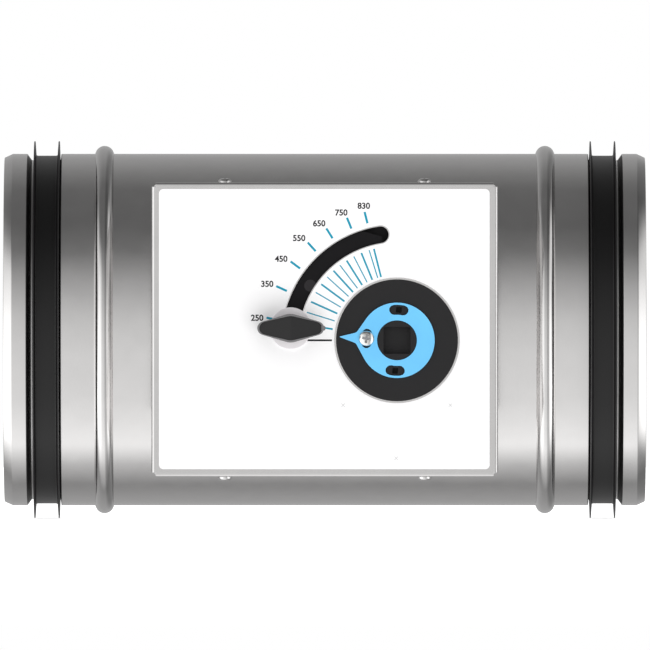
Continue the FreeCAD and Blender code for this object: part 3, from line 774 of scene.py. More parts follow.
ZINC = (0.665, 0.655, 0.65)
FINISHES = {finish.name: finish for finish in (
    Metal("zinc_sheet", "galvanised_steel", ZINC, 0.13, lines=Weave.AROUND_DUCT),
    Metal("zinc_lid", "galvanised_steel", ZINC, 0.2, lines=Weave.ALONG_X),
    Metal("bright_zinc", "zinc_plated_steel", (0.8, 0.79, 0.77), 0.2, wear=1.5, grain_depth=0.02),
    Metal("dark_steel", "spring_steel", (0.36, 0.36, 0.38), 0.3),
    Moulding("seal_rubber", "seal_rubber", (0.0045, 0.0042, 0.0045), 0.36, 900.0, 0.12,
             wear=0.5, wear_colour=(0.02, 0.02, 0.02), dust=0.008, specular=0.4),
    Paper("label_white", "label_white", (0.965, 0.96, 0.965), 0.5, patch_change=0.008,
          wear=0.3, wear_colour=(0.8, 0.8, 0.8), dust=0.02, specular=0.5),
    Paper("print_blue", None, (0.004, 0.31, 0.45), 0.6),
    Paper("print_grey", None, (0.009, 0.009, 0.011), 0.6),
    Paper("print_faint", None, (0.5, 0.5, 0.5), 0.5, dust=0.02, specular=0.5),
    Moulding("black_moulding", "black_plastic", (0.0095, 0.009, 0.0098), 0.5,
             wear_colour=(0.03, 0.03, 0.03), dust=0.01, specular=0.33),
    # Darker, duller copy of the black moulding: painted shade for the shield that lies deep under the slot
    Moulding("painted_shade_moulding", "black_plastic", (0.0088, 0.0083, 0.0092), 0.6,
             wear_colour=(0.02, 0.02, 0.02), dust=0.005, specular=0.1),
    # Lighter copy of the black moulding: a painted highlight on the shield's boss, and the painted shade
    # plate behind the slot's end
    Moulding("painted_light_moulding", "black_plastic", (0.022, 0.02, 0.022), 0.5,
             wear_colour=(0.02, 0.02, 0.02), dust=0.005, specular=0.2),
    Moulding("knob_moulding", "knob_plastic", (0.014, 0.0135, 0.014), 0.4,
             wear_colour=(0.04, 0.04, 0.04), dust=0.01, specular=0.36),
    # Lighter copy of the knob's moulding: a painted highlight on the wing's border and nib
    Moulding("knob_painted_highlight", "knob_plastic", (0.16, 0.157, 0.16), 0.4, wear=0.5, dust=0.01, specular=0.4),
    Moulding("blue_moulding", "blue_plastic", (0.15, 0.56, 0.98), 0.42,
             wear=0.5, wear_colour=(0.5, 0.8, 1.0)),
    Moulding("pale_moulding", "washer_plastic", (0.82, 0.79, 0.81), 0.4,
             wear=0.4, wear_colour=(0.9, 0.9, 0.9)),
    Moulding("bearing_moulding", "bearing_plastic", (0.62, 0.61, 0.57), 0.42, wear_colour=(0.8, 0.8, 0.8)),
    Moulding("bellows_rubber", "bellows_rubber", (0.022, 0.022, 0.024), 0.5, 1200.0, 0.1),
)}


class Workshop:
    """Dresses pieces, hangs them on their bodies and reports them."""

    def __init__(self) -> None:
        """Builds every finish once."""
        self.materials = {name: finish.build() for name, finish in FINISHES.items()}

    def dress(self, piece: bpy.types.Object, finish: str) -> bpy.types.Object:
        """Gives a piece the material of a finish.

        Args:
            piece: The piece.
            finish: Name of the finish.

        Returns:
            The piece.
        """
        piece.data.materials.clear()
        piece.data.materials.append(self.materials[finish])
        return piece

    def place(self, piece: bpy.types.Object, finish: str, body: Body, *stands_for: str) -> None:
        """Dresses a piece, lets it ride on a body and hides the solids that it stands for.

        Args:
            piece: The piece.
            finish: Name of the finish.
            body: The body that it rides on.
            *stands_for: Solids that it replaces.
        """
        self.dress(piece, finish)
        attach(piece, body.value)
        if stands_for:
            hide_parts(*stands_for)
        LOG.info("%s rides on %s in %s", piece.name, body.value, finish)


# Pieces


@dataclass(frozen=True)
class PanScrew:
    """A pan-head screw with a cross recess, in millimetres; the recess's sizes are shares of the head's."""

    radius: float
    height: float
    shank_r: float
    shank: float
    recess: tuple[float, float, float] = (0.13, 0.56, 0.75)  # half width, reach, depth
    side_ease: float = 0.12
    end_ease: float = 0.16  # share of the head's radius
    dome: float = 2.6  # power of the radius
    sunk: float = 0.02
    tip: float = 0.5
    steps: tuple[int, int] = (44, 120)  # rings, spokes
    spacing: float = 0.8  # under one, the rings lie closer together near the head's edge

    def surface(self, name: str, origin: np.ndarray, across: np.ndarray, up: np.ndarray,
                out: np.ndarray) -> bpy.types.Object:
        """The screw's surface.

        The head's height at radius r is H (1 - (r/R)^dome)^0.5. Where the smaller of |u| and |v| is
        under half the recess's width, a depth that eases in at the recess's ends is taken off.

        Args:
            name: Name of the piece.
            origin: Middle of the seat, in millimetres.
            across: First direction in the seat.
            up: Second direction in the seat.
            out: Direction out of the seat.

        Returns:
            The piece.
        """
        rows, columns = self.steps
        half, reach, depth = self.recess
        turn = np.arange(columns) * TURN / columns
        r, a = np.meshgrid(np.linspace(0, 1, rows) ** self.spacing * self.radius, turn, indexing="ij")
        u, v = r * np.cos(a), r * np.sin(a)
        crown = self.height * (1 - (r / self.radius) ** self.dome) ** 0.5
        near, far = np.minimum(abs(u), abs(v)), np.maximum(abs(u), abs(v))
        inside = np.clip((half * self.radius - near) / self.side_ease + 0.5, 0, 1)
        along = np.clip((reach * self.radius - far) / (self.end_ease * self.radius), 0, 1)
        rise = crown - depth * self.height * inside * along
        below = np.array([[self.radius, -self.sunk], [self.shank_r, -self.sunk],
                          [self.shank_r, -self.shank], [0.0, -self.shank - self.tip]])
        under_r, under_a = np.meshgrid(below[:, 0], turn, indexing="ij")
        u = np.vstack([u, under_r * np.cos(under_a)])
        v = np.vstack([v, under_r * np.sin(under_a)])
        rise = np.vstack([rise, np.repeat(below[:, 1][:, None], columns, axis=1)])
        points = origin + u[..., None] * across + v[..., None] * up + rise[..., None] * out
        return mesh_piece(name, MM * points.reshape(-1, 3), grid_quads(len(u), columns, False, True), 40.0)


@dataclass
class Casing:
    """The rolled duct with two grooved spigots, two beads and two lip seals, in millimetres."""

    length: float = 362.6
    sheet: float = 0.8
    taper: tuple[float, float] = (4.8, 2.2)  # length, drop
    land: float = 8.3
    groove: tuple[float, float, float, float] = (2.4, 3.5, 16.4, 0.4)  # cone, depth, floor, shoulder
    behind_groove: float = 14.0
    rim_ease: float = 0.45
    bead_place: float = 56.7
    bead_half: float = 5.25
    bead_height: float = 4.5
    bead_feet: tuple[float, float] = (6.6, 8.0)
    bead_fillet: float = 0.12
    bead_reach: float = 1.03  # how far its points go, as a share of the arc's radius
    bead_points: int = 29
    seal_start: float = 16.6
    seal_width: float = 15.0
    lip_r: float = 106.7
    lip: tuple[float, float, float, float] = (0.3, 0.95, 1.5, 2.2)  # front, back, root, end of the root
    lip_roots: tuple[float, float] = (-0.4, 0.3)  # height over the skin in front, behind
    seal_ease: float = 0.3
    seal_skin: float = 1.0
    seal_foot: float = 3.45
    turns: tuple[int, int] = (256, 200)  # steps round the duct, round a seal

    def spigot(self) -> np.ndarray:
        """The corners of one spigot's outer line.

        Returns:
            Distance from the edge and radius.
        """
        cone, depth, floor, shoulder = self.groove
        steps = np.array([0, self.taper[0], self.land, cone, floor, shoulder, self.behind_groove])
        radius = DUCT_R - np.array([self.taper[1], 0, 0, depth, depth, 0, 0])
        return np.stack([np.cumsum(steps), radius], axis=1)

    def inset(self, corners: np.ndarray) -> np.ndarray:
        """The line beside a line, one sheet nearer the axis: p + t (n1 + n2) / (1 + n1.n2).

        Args:
            corners: Corners p of the line; n1 and n2 are the normals before and after each.

        Returns:
            The corners beside them.
        """
        run = np.diff(corners, axis=0)
        normal = np.stack([run[:, 1], -run[:, 0]], axis=1) / np.linalg.norm(run, axis=1, keepdims=True)
        before = np.vstack([normal[:1], normal])
        after = np.vstack([normal, normal[-1:]])
        return corners + self.sheet * (before + after) / (1 + (before * after).sum(axis=1, keepdims=True))

    def bead(self, inset: float) -> np.ndarray:
        """One bead's line, about its middle.

        With R from the bead's width and height, the arc's height is h = sqrt(R^2 - u^2) + c, and the
        line (h + sqrt(h^2 + f)) / 2 gives it a small fillet at each foot.

        Args:
            inset: Distance inside the outer skin.

        Returns:
            Place along the duct and radius.
        """
        crest = (self.bead_half ** 2 + self.bead_height ** 2) / (2 * self.bead_height)
        arc = crest - inset
        near, far = self.bead_feet
        quarter = math.pi / 2
        swell = arc * self.bead_reach * np.sin(np.linspace(-quarter, quarter, self.bead_points))
        u = np.concatenate([[-far, -near], swell, [near, far]])
        level = inset + self.bead_height - crest
        h = np.sqrt(np.maximum(arc ** 2 - u ** 2, 0)) + level - 2 * np.maximum(abs(u) - arc, 0)
        return np.stack([u, DUCT_R - inset + (h + np.sqrt(h ** 2 + self.bead_fillet)) / 2], axis=1)

    def build(self, shop: Workshop) -> None:
        """Makes the duct and its two seals: a closed wall turned about the axis, and two lipped rings.

        Args:
            shop: Where they are dressed.
        """
        outer = self.spigot()
        rim = eased(np.vstack([self.inset(outer)[::-1], outer]), self.rim_ease, 5, closed=False)
        skin, lining = self.bead(0.0), self.bead(self.sheet)
        edge, place = MID_X - self.length / 2, self.bead_place
        half = np.vstack([rim + (edge, 0), skin + (edge + place, 0)])
        inner = lining[::-1] + (edge + place, 0)
        mirror, shift = (-1.0, 1.0), (2 * MID_X, 0.0)
        loop = np.vstack([half, half[::-1] * mirror + shift, inner[::-1] * mirror + shift, inner])
        casing = revolved("casing_sheet", MM * loop, along_duct, self.turns[0], True, 38.0)
        shop.place(casing, "zinc_sheet", Body.DUCT, "duct_casing")
        start, end = self.seal_start, self.seal_start + self.seal_width
        body, foot = DUCT_R - self.seal_skin, DUCT_R - self.seal_foot
        front, back, root, end_root = (start + place for place in self.lip)
        front_level, root_level = (body + level for level in self.lip_roots)
        lip = [(start, foot), (start, front_level), (front, self.lip_r), (back, self.lip_r),
               (root, root_level), (end_root, body)]
        ring = eased(lip + [(start + end - a, b) for a, b in lip[::-1]], self.seal_ease)
        lines = [MM * (ring + (edge, 0)), MM * (ring * mirror + (2 * MID_X - edge, 0))]
        rings = [revolved("seal", line, along_duct, self.turns[1], True, 50.0) for line in lines]
        shop.place(joined("spigot_seals", rings), "seal_rubber", Body.DUCT, "lip_seals")


@dataclass
class Console:
    """The folded lid on its base, its screws, label and printed scale, in millimetres."""

    cover_edge: float = 0.4
    base_edge: float = 0.18
    label: tuple[float, float, float] = (185.8, 157.4, 2.5)  # width, height, corner
    label_place: tuple[float, float] = (-0.25, 0.3)  # off the lid's middle
    label_t: float = 0.25
    print_t: float = 0.03
    dial_hole: float = 35.3
    rim_r: float = 34.25
    rim_lap: float = 0.05
    rim_t: float = 0.1
    # Radius, half width, first and last angle
    slot: tuple[float, float, float, float] = (60.1, 5.25, 6.5, 81.1)
    screw_spread: float = 56.1
    half_width: float = 82.75
    screw_level: float = 123.0
    screw: PanScrew = PanScrew(3.95, 2.4, 1.9, 7.5)
    majors: tuple[int, ...] = (250, 350, 450, 550, 650, 750, 830)
    minors: tuple[int, ...] = (300, 400, 500, 600, 700, 800)
    scale_start: float = 9.8  # angle of the first flow
    scale_pitch: float = 4.95  # degrees for each one of the flow's root
    scale_rise: tuple[float, float, float] = (1.7, 650.0, 180.0)  # degrees, from which flow, its range
    outer_mark: tuple[float, float, float] = (67.8, 74.4, 1.25)  # inner end, outer end, width
    inner_mark: tuple[float, float] = (36.7, 53.0)  # inner end, outer end
    inner_widths: tuple[float, float] = (1.0, 0.65)  # of majors, of minors
    numeral_size: float = 4.7
    numeral_weight: float = 0.125
    numeral_reach: float = 79.6
    numeral_draw: tuple[float, float] = (0.006, 550.0)  # nearer for each unit of flow, from which flow
    numeral_lean: tuple[float, float, float] = (0.6, 0.75, -0.3)  # before its mark, more so later, the last
    numeral_drop: float = 0.25
    # Places of the faint marks from the dial's axis
    faint_spots: tuple[tuple[float, float], ...] = ((-30.3, -36.5), (30.0, -36.5), (-0.45, -66.3))
    faint_cross: tuple[float, float, float] = (1.4, 0.26, 45.0)  # reach, width, turn
    datum: tuple[float, float, float] = (-43.9, 14.8, 1.0)  # middle from the dial's axis, length, width
    datum_corner: float = 0.05
    # Dark plate behind the slot's far end, painted shade seen through the slot: middle across from the dial's
    # axis, middle up, width, height
    shade: tuple[float, float, float, float] = (-9.0, 61.7, 40.0, 37.4)
    shade_levels: tuple[float, float] = (118.8, 120.0)

    def flow_angle(self, flow: float) -> float:
        """Place of a flow q on the scale: start + pitch (sqrt q - sqrt q0) + rise max(0, (q - q1)/range)^1.5.

        Args:
            flow: The flow q; q0 is the first flow of the scale.

        Returns:
            The angle in degrees, clockwise from the left.
        """
        rise, onset, width = self.scale_rise
        root = math.sqrt(flow) - math.sqrt(self.majors[0])
        return self.scale_start + self.scale_pitch * root + rise * max(0.0, (flow - onset) / width) ** 1.5

    def mark(self, flow: float, inner: float, outer: float, width: float) -> np.ndarray:
        """A radial printed line of even width.

        Args:
            flow: Flow that it marks.
            inner: Radius of its inner end.
            outer: Radius of its outer end.
            width: Its width.

        Returns:
            Its four corners.
        """
        reach = np.array([inner, outer])
        side = np.degrees(width / 2 / reach)
        angle = self.flow_angle(flow)
        return np.vstack([dial_point(reach, angle - side), dial_point(reach, angle + side)[::-1]])

    def print_piece(self, shop: Workshop, name: str, outlines: list[np.ndarray], finish: str) -> None:
        """Thin print on the label from closed outlines."""
        face = COVER_FACE + self.label_t
        shop.place(plate(name, outlines, face, face + self.print_t), finish, Body.DUCT)

    def numeral(self, flow: int) -> bpy.types.Object:
        """A scale number, upright, beyond its mark.

        It stands a little before its mark, more so from the third one on, and the last one after it;
        the later numbers come nearer the dial by a little for each unit of flow.

        Args:
            flow: The number.

        Returns:
            The piece.
        """
        curve = bpy.data.curves.new(f"flow_{flow}", "FONT")
        curve.body, curve.size = str(flow), self.numeral_size
        curve.align_x, curve.align_y = "CENTER", "CENTER"
        curve.extrude, curve.offset = self.print_t / 2, self.numeral_weight
        piece = from_curve(f"flow_{flow}", curve, COVER_FACE + self.label_t + self.print_t / 2)
        nearer, onset = self.numeral_draw
        reach = self.numeral_reach - nearer * max(0, flow - onset)
        least, more, lean = self.numeral_lean
        if flow < self.majors[-1]:
            _, second, third, *_ = self.majors
            lean = least + more * min(max((flow - second) / (third - second), 0.0), 1.0)
        place = dial_point(reach, self.flow_angle(flow) - lean)
        piece.data.transform(Matrix.Translation((place[0] * MM, 0, (place[1] - self.numeral_drop) * MM)))
        return piece

    def build(self, shop: Workshop) -> None:
        """Makes the lid, base, label, print and screws, and a dark plate of painted shade behind the slot's
        far end.

        Args:
            shop: Where they are dressed.
        """
        shop.place(softened("console_cover", self.cover_edge), "zinc_lid", Body.DUCT)
        shop.place(softened("console_base", self.base_edge), "zinc_lid", Body.DUCT)
        across, up = self.label_place
        outline = rounded_rectangle(MID_X + across, up, *self.label)
        holes = [circle(AXIS_X, AXIS_Z, self.dial_hole, 180), arc_slot(*self.slot)]
        label = plate("scale_label", [outline, *holes], COVER_FACE, COVER_FACE + self.label_t)
        shop.place(label, "label_white", Body.DUCT)
        rim = [circle(AXIS_X, AXIS_Z, radius, 180) for radius in (self.dial_hole - self.rim_lap, self.rim_r)]
        shop.place(plate("dial_rim", rim, COVER_FACE, COVER_FACE + self.rim_t), "zinc_lid", Body.DUCT)
        # A dark plate inside the console, painted shade seen through the slot's far end
        across, up, width, height = self.shade
        shade = rounded_rectangle(AXIS_X + across, up, width, height, 1.0, 6)
        shade = plate("slot_end_painted_shade", [shade], *self.shade_levels)
        shop.place(shade, "painted_light_moulding", Body.DUCT, "console_base")
        wide, narrow = self.inner_widths
        blue = [self.mark(flow, *self.outer_mark) for flow in self.majors]
        blue += [self.mark(flow, *self.inner_mark, wide) for flow in self.majors]
        blue += [self.mark(flow, *self.inner_mark, narrow) for flow in self.minors]
        self.print_piece(shop, "scale_marks", blue, "print_blue")
        faint = [cross_outline(*self.faint_cross) + (AXIS_X + x, AXIS_Z + z) for x, z in self.faint_spots]
        self.print_piece(shop, "place_marks", faint, "print_faint")
        across, width, height = self.datum
        line = rounded_rectangle(AXIS_X + across, AXIS_Z, width, height, self.datum_corner, 2)
        self.print_piece(shop, "datum_line", [line], "print_grey")
        numbers = joined("scale_numbers", [self.numeral(flow) for flow in self.majors])
        shop.place(numbers, "print_grey", Body.DUCT)
        along, forward, upward = np.eye(3)
        spread = self.screw_spread * along
        screws = []
        for middle in (-spread, spread):
            for side in (-1, 1):
                seat = middle + (MID_X, -self.screw_level, side * self.half_width)
                screws.append(self.screw.surface("screw", seat, along, forward, side * upward))
        shop.place(joined("lid_screws", screws), "zinc_lid", Body.DUCT, "cover_screws")


@dataclass
class Dial:
    """The dial with its drive socket and shield, the pointer ring and its screw, in millimetres."""

    radius: float = 34.1
    top: float = 131.4
    bottom: float = 126.2
    edge: float = 0.3
    land: tuple[float, float] = (10.9, 132.4)  # radius, height
    socket: tuple[float, float] = (15.2, 1.2)  # width, corner
    socket_play: float = 0.04
    floor: tuple[float, float, float] = (22.0, 0.03, 0.4)  # radius, its back and front over the disc's back
    hub_r: float = 9.765
    hub_hole: float = 5.1
    hub_floor: float = 117.5
    dust_lip: float = 1.3
    # Inner and outer radius, first and last angle
    shield: tuple[float, float, float, float] = (30.0, 65.2, -3.0, 81.8)
    shield_top: float = 128.7
    shield_trim: tuple[float, float] = (54.0, 105.4)  # reach of the straight edge, angle that it faces
    ring: tuple[float, float, float] = (21.15, 11.2, 1.2)  # radius, hole, thickness
    ring_edge: float = 0.16
    ring_gap: float = 0.05
    nose: tuple[float, float, float] = (32.75, 23.0, 3.0)  # tip, shoulder, half width
    nose_ease: float = 0.9
    nose_deg: float = 30.0  # angle each way from the pointer in which the circle is open
    kidney: tuple[float, float, float] = (17.15, 2.8, 8.85)  # radius, half width, half of its angle
    pointer_deg: float = 3.5
    pocket: tuple[float, float] = (3.2, 0.25)  # width, corner
    boss: tuple[float, float, float, float] = (57.6, 32.2, 3.4, 0.22)  # reach, angle, radius, height
    boss_edge: float = 0.15
    screw: PanScrew = PanScrew(4.4, 2.3, 1.9, 5.0)
    screw_gap: float = 0.1
    screw_lean: float = -10.0
    # Dark cross in the screw's recess, painted shade: its reach and width, then its back and front over the
    # screw's seat
    screw_cross: tuple[float, float] = (2.0, 0.75)  # reach, width
    cross_levels: tuple[float, float] = (0.6, 0.95)  # its back and front over the screw's seat

    def sector(self) -> np.ndarray:
        """The shield's outline, trimmed so that it clears the wall when fully turned.

        The outer edge's reach at angle a is the smaller of R and W / cos(a - t), where W is the
        way from the axis to the wall and t the angle that faces the wall at full travel.

        Returns:
            The outline, two columns.
        """
        inner, outer, start, end = self.shield
        wall, facing = self.shield_trim
        along = np.linspace(start, end, 90)
        reach = np.minimum(outer, wall / np.maximum(np.cos(np.radians(along - facing)), 0.1))
        return np.vstack([dial_point(reach, along), dial_point(np.full(90, inner), along[::-1])])

    def ring_outline(self) -> np.ndarray:
        """The pointer ring's outline: a circle whose left side runs out to a point.

        Returns:
            The outline about the dial's axis, two columns.
        """
        radius = self.ring[0]
        tip, shoulder, half = self.nose
        turn = np.radians(np.linspace(180 - self.nose_deg, -180 + self.nose_deg, 120))
        around = np.stack([radius * np.cos(turn), radius * np.sin(turn)], axis=1)
        nose = eased([(around[-1, 0], around[-1, 1]), (-shoulder, -half), (-tip, 0), (-shoulder, half),
                      (around[0, 0], around[0, 1])], self.nose_ease, 3, closed=False)
        return np.vstack([around, nose[1:-1]])

    def turned(self, line: np.ndarray, clockwise_deg: float) -> np.ndarray:
        """A line about the dial's axis, turned clockwise and moved to its place."""
        a = math.radians(clockwise_deg)
        return line @ np.array([(math.cos(a), -math.sin(a)), (math.sin(a), math.cos(a))]) + (AXIS_X, AXIS_Z)

    def kidney_outline(self, quarter: float) -> np.ndarray:
        """One slot of the ring.

        Args:
            quarter: Its angle from the pointer, clockwise in degrees.

        Returns:
            The outline, two columns.
        """
        radius, half, reach = self.kidney
        middle = self.pointer_deg + quarter
        return arc_slot(radius, half, middle - reach, middle + reach, 14)

    def build(self, shop: Workshop) -> None:
        """Makes the dial, ring and screw.

        Args:
            shop: Where they are dressed.
        """
        self.build_dial(shop)
        self.build_pointer(shop)

    def build_dial(self, shop: Workshop) -> None:
        """Makes the dial's disc with its square socket, the shield in a darker copy of the moulding as
        painted shade, and its low round boss in a lighter copy as a painted highlight.

        Args:
            shop: Where they are dressed.
        """
        square = rounded_rectangle(AXIS_X, AXIS_Z, self.socket[0], self.socket[0], self.socket[1], 8)
        disc = circle(AXIS_X, AXIS_Z, self.radius, 180)
        width, corner = self.pocket
        spot = rounded_rectangle(-self.kidney[0], 0, width, width, corner, 3)
        pockets = [self.turned(spot, self.pointer_deg + quarter) for quarter in (-90, 90)]
        wide = self.socket[0] + self.socket_play
        mouth = rounded_rectangle(AXIS_X, AXIS_Z, wide, wide, self.socket[1], 7)
        land = circle(AXIS_X, AXIS_Z, self.land[0], 120)
        floor_r, back, front = self.floor
        floor = circle(AXIS_X, AXIS_Z, floor_r, 60)
        hub = [circle(AXIS_X, AXIS_Z, self.hub_r, 60), circle(AXIS_X, AXIS_Z, self.hub_hole, 40)]
        layers = [plate("disc", [disc, square, *pockets], self.bottom, self.top),
                  plate("land", [land, mouth], self.top - 0.5, self.land[1]),
                  plate("floor", [floor], self.bottom + back, self.bottom + front),
                  plate("hub", hub, self.hub_floor, self.bottom + 0.2)]
        dial = bevelled(joined("setting_disc", layers), self.edge, 3)
        shop.place(dial, "black_moulding", Body.SETTING, "setting_dial")
        lip = [circle(AXIS_X, AXIS_Z, self.radius + self.dust_lip, 180),
               circle(AXIS_X, AXIS_Z, self.shield[0], 120)]
        shield = joined("slot_shield", [plate("sector", [self.sector()], self.bottom, self.shield_top),
                                        plate("dust_lip", lip, self.bottom, self.shield_top)])
        # The shield wears the darker copy of the black moulding, painted shade for its place under the slot
        shop.place(bevelled(shield, self.edge), "painted_shade_moulding", Body.SETTING, "setting_dial")
        reach, angle, radius, height = self.boss
        boss = plate("shield_boss", [circle(*dial_point(reach, angle), radius, 48)],
                     self.shield_top - 1, self.shield_top + height)
        # The boss wears the lighter copy of the black moulding, a painted highlight
        shop.place(bevelled(boss, self.boss_edge), "painted_light_moulding", Body.SETTING, "setting_dial")

    def build_pointer(self, shop: Workshop) -> None:
        """Makes the pointer ring with its slots, and its screw with a dark cross in its recess that is
        painted shade.

        Args:
            shop: Where they are dressed.
        """
        outlines = [self.turned(self.ring_outline(), self.pointer_deg),
                    circle(AXIS_X, AXIS_Z, self.ring[1], 120)]
        outlines += [self.kidney_outline(quarter) for quarter in (-90, 0, 90)]
        low = self.top + self.ring_gap
        ring = bevelled(plate("pointer", outlines, low, low + self.ring[2]), self.ring_edge, 3)
        shop.place(ring, "blue_moulding", Body.POINTER, "pointer_ring")
        spot = dial_point(self.kidney[0], self.pointer_deg)
        seat = np.array([spot[0], -(self.top + self.ring[2] + self.screw_gap), spot[1]])
        lean = math.radians(self.screw_lean)
        across = np.array([math.cos(lean), 0.0, math.sin(lean)])
        up = np.array([-across[2], 0.0, across[0]])
        screw = self.screw.surface("pointer_fixing", seat, across, up, np.array([0, -1.0, 0]))
        shop.place(screw, "bright_zinc", Body.SETTING, "pointer_screw")
        # A dark steel cross in the recess is painted shade
        arms = cross_outline(*self.screw_cross, 180 - self.screw_lean) + spot
        recess = plate("recess_painted_shade", [arms], *(-seat[1] + level for level in self.cross_levels))
        shop.place(recess, "dark_steel", Body.SETTING, "pointer_screw")


@dataclass
class Clamp:
    """The winged knob on its washer and the lever that carries them, in millimetres."""

    reach: float = 60.1
    angle: float = 6.5
    bottom: float = 131.95
    skirt: tuple[float, float] = (6.6, 6.0)  # radius, height
    wing: tuple[float, float, float] = (18.75, 8.0, 8.0)  # half length, half width, height
    slope: float = 1.6
    middle_r: float = 10.0
    end_r: float = 3.9
    under_edge: float = 0.35
    rim: tuple[float, float] = (1.3, 0.35)  # width, height over the facets
    nib: tuple[float, float, float] = (2.5, 2.7, 0.9)  # length, width, corner
    washer: tuple[float, float, float, float] = (11.7, 3.1, 130.3, 131.9)  # radius, hole, back, front

    def outline(self, count: int = 128) -> np.ndarray:
        """The wing's outline about its middle.

        In each direction the outline's reach is the hull of a middle circle shifted across and an
        end circle shifted along: the larger of the two circles' supports gives its tangent lines.

        Args:
            count: Points round the outline.

        Returns:
            The outline, two columns.
        """
        half, width, _ = self.wing
        turn = np.arange(count * 8) * TURN / (count * 8)
        c, s = np.cos(turn), np.sin(turn)
        drop = self.middle_r - width
        support = np.maximum(self.middle_r - drop * abs(s), self.end_r + (half - self.end_r) * abs(c))
        support = np.where(abs(s) > 0.05, support, self.end_r + (half - self.end_r) * abs(c))
        slope = np.gradient(support, turn, edge_order=2)
        line = np.stack([support * c - slope * s, support * s + slope * c], axis=1)
        way = np.unwrap(np.arctan2(line[:, 1], line[:, 0]))
        ask = np.arange(count) * TURN / count
        order = np.argsort(way)
        return np.stack([np.interp(ask, way[order], line[order, 0], period=TURN),
                         np.interp(ask, way[order], line[order, 1], period=TURN)], axis=1)

    @property
    def spot(self) -> np.ndarray:
        """The knob's middle in the console's plane."""
        return dial_point(self.reach, self.angle)

    @property
    def wing_low(self) -> float:
        """Height of the wing's underside."""
        return self.bottom + self.skirt[1]

    def roof(self, line: np.ndarray, lower: float) -> np.ndarray:
        """Height of the two top facets above a line, less a little: they fall evenly to both ends."""
        return self.wing_low + self.wing[2] - lower - self.slope * abs(line[:, 0]) / self.wing[0]

    def stacked(self, name: str, rings: Sequence[tuple[np.ndarray, object]],
                closed: bool) -> bpy.types.Object:
        """A surface through rings about the knob's middle, point by point.

        Args:
            name: Name of the piece.
            rings: Outline of each ring, and one height or a height for each of its points.
            closed: Whether the last ring joins the first.

        Returns:
            The piece.
        """
        flat = np.concatenate([line for line, _ in rings]) + self.spot
        count = len(rings[0][0])
        height = np.concatenate([np.broadcast_to(level, count) for _, level in rings])
        points = MM * np.stack([flat[:, 0], -height, flat[:, 1]], axis=1)
        return mesh_piece(name, points, grid_quads(len(rings), count, closed, True), 24.0)

    def build(self, shop: Workshop) -> None:
        """Makes the knob, its nib, the washer and the lever.

        The knob's rings go up the skirt, out under the wing, up its edge to under the border, in to
        the bed beside the border and over the facets to the middle. Each factor that they are
        given shrinks a ring, and each number in roof() is how far it lies under the border's top.

        Args:
            shop: Where they are dressed.
        """
        edge = self.outline()
        skirt = circle(0, 0, self.skirt[0], len(edge))
        size = np.linalg.norm(edge, axis=1, keepdims=True)
        border, chamfer = self.rim
        inner = edge * (1 - border / size)
        bed, lip, ease = inner * 0.99, inner * 1.01, self.under_edge
        low = self.wing_low
        rings = [(0 * skirt, self.bottom), (skirt * 0.97, self.bottom), (skirt, self.bottom + 0.2),
                 (skirt, low), (edge * (1 - ease / size), low), (edge, low + ease),
                 (edge, self.roof(edge, 1.6)), (bed, self.roof(bed, 1.5)),
                 (bed, self.roof(bed, chamfer + 0.12)), (bed * 0.985, self.roof(bed * 0.985, chamfer))]
        rings += [(inner * k, self.roof(inner * k, chamfer)) for k in (0.75, 0.5, 0.25, 0.0)]
        knob = self.stacked("wing", rings, False)
        rim = self.stacked("wing_rim", [
            (edge, self.roof(edge, 1.7)), (edge, self.roof(edge, 0.3)),
            (edge * (1 - 0.25 / size), self.roof(edge, 0.03)), (lip * (1 + 0.2 / size), self.roof(lip, 0.0)),
            (lip, self.roof(lip, 0.12)), (lip, self.roof(lip, 1.7))], True)
        x, z = self.spot
        nib = plate("nib", [rounded_rectangle(x + self.wing[0] - 0.5, z, *self.nib, 6)],
                    low + 1, low + self.wing[2] - self.slope - 0.3)
        # The border and nib wear a lighter copy of the knob's moulding, a painted highlight
        shop.place(joined("knob_edge", [rim, nib]), "knob_painted_highlight", Body.KNOB, "clamp_knob")
        shop.place(knob, "knob_moulding", Body.KNOB, "clamp_knob")
        outer, hole, back, front = self.washer
        profile = eased([(back, hole), (back, outer), (front, outer), (front, hole)], 0.35)
        washer = revolved("smooth_washer", profile, off_console((x, z)), 120, True, 40.0)
        shop.place(washer, "pale_moulding", Body.SETTING, "slide_washer")
        shop.place(softened("setting_lever", 0.3), "bright_zinc", Body.SETTING)


@dataclass
class Works:
    """The blade, its shaft, crank and weight, and the fixed parts that carry them."""

    fixed: tuple[tuple[str, float, str], ...] = (
        ("shaft_bearings", 0.4, "bearing_moulding"),
        ("bearing_nuts", 0.4, "bearing_moulding"),
        ("blade_stops", 0.3, "bright_zinc"),
        ("bellows_bracket", 0.3, "zinc_lid"))
    swinging: tuple[tuple[str, float, str], ...] = (
        ("blade_shaft", 0.3, "bright_zinc"),
        ("damper_blade", 0.3, "zinc_lid"),
        ("blade_screws", 0.3, "bright_zinc"),
        ("crank_arm", 0.35, "bright_zinc"),
        ("crank_grub_screw", 0.1, "dark_steel"),
        ("balance_weight", 0.5, "bright_zinc"),
        ("bellows_clamp_plate", 0.3, "zinc_lid"))

    def build(self, shop: Workshop) -> None:
        """Rounds each solid of the works by its width in millimetres and dresses it in its finish.

        Args:
            shop: Where they are dressed.
        """
        for body, solids in ((Body.DUCT, self.fixed), (Body.BLADE, self.swinging)):
            for node, width, finish in solids:
                shop.place(softened(node, width), finish, body)


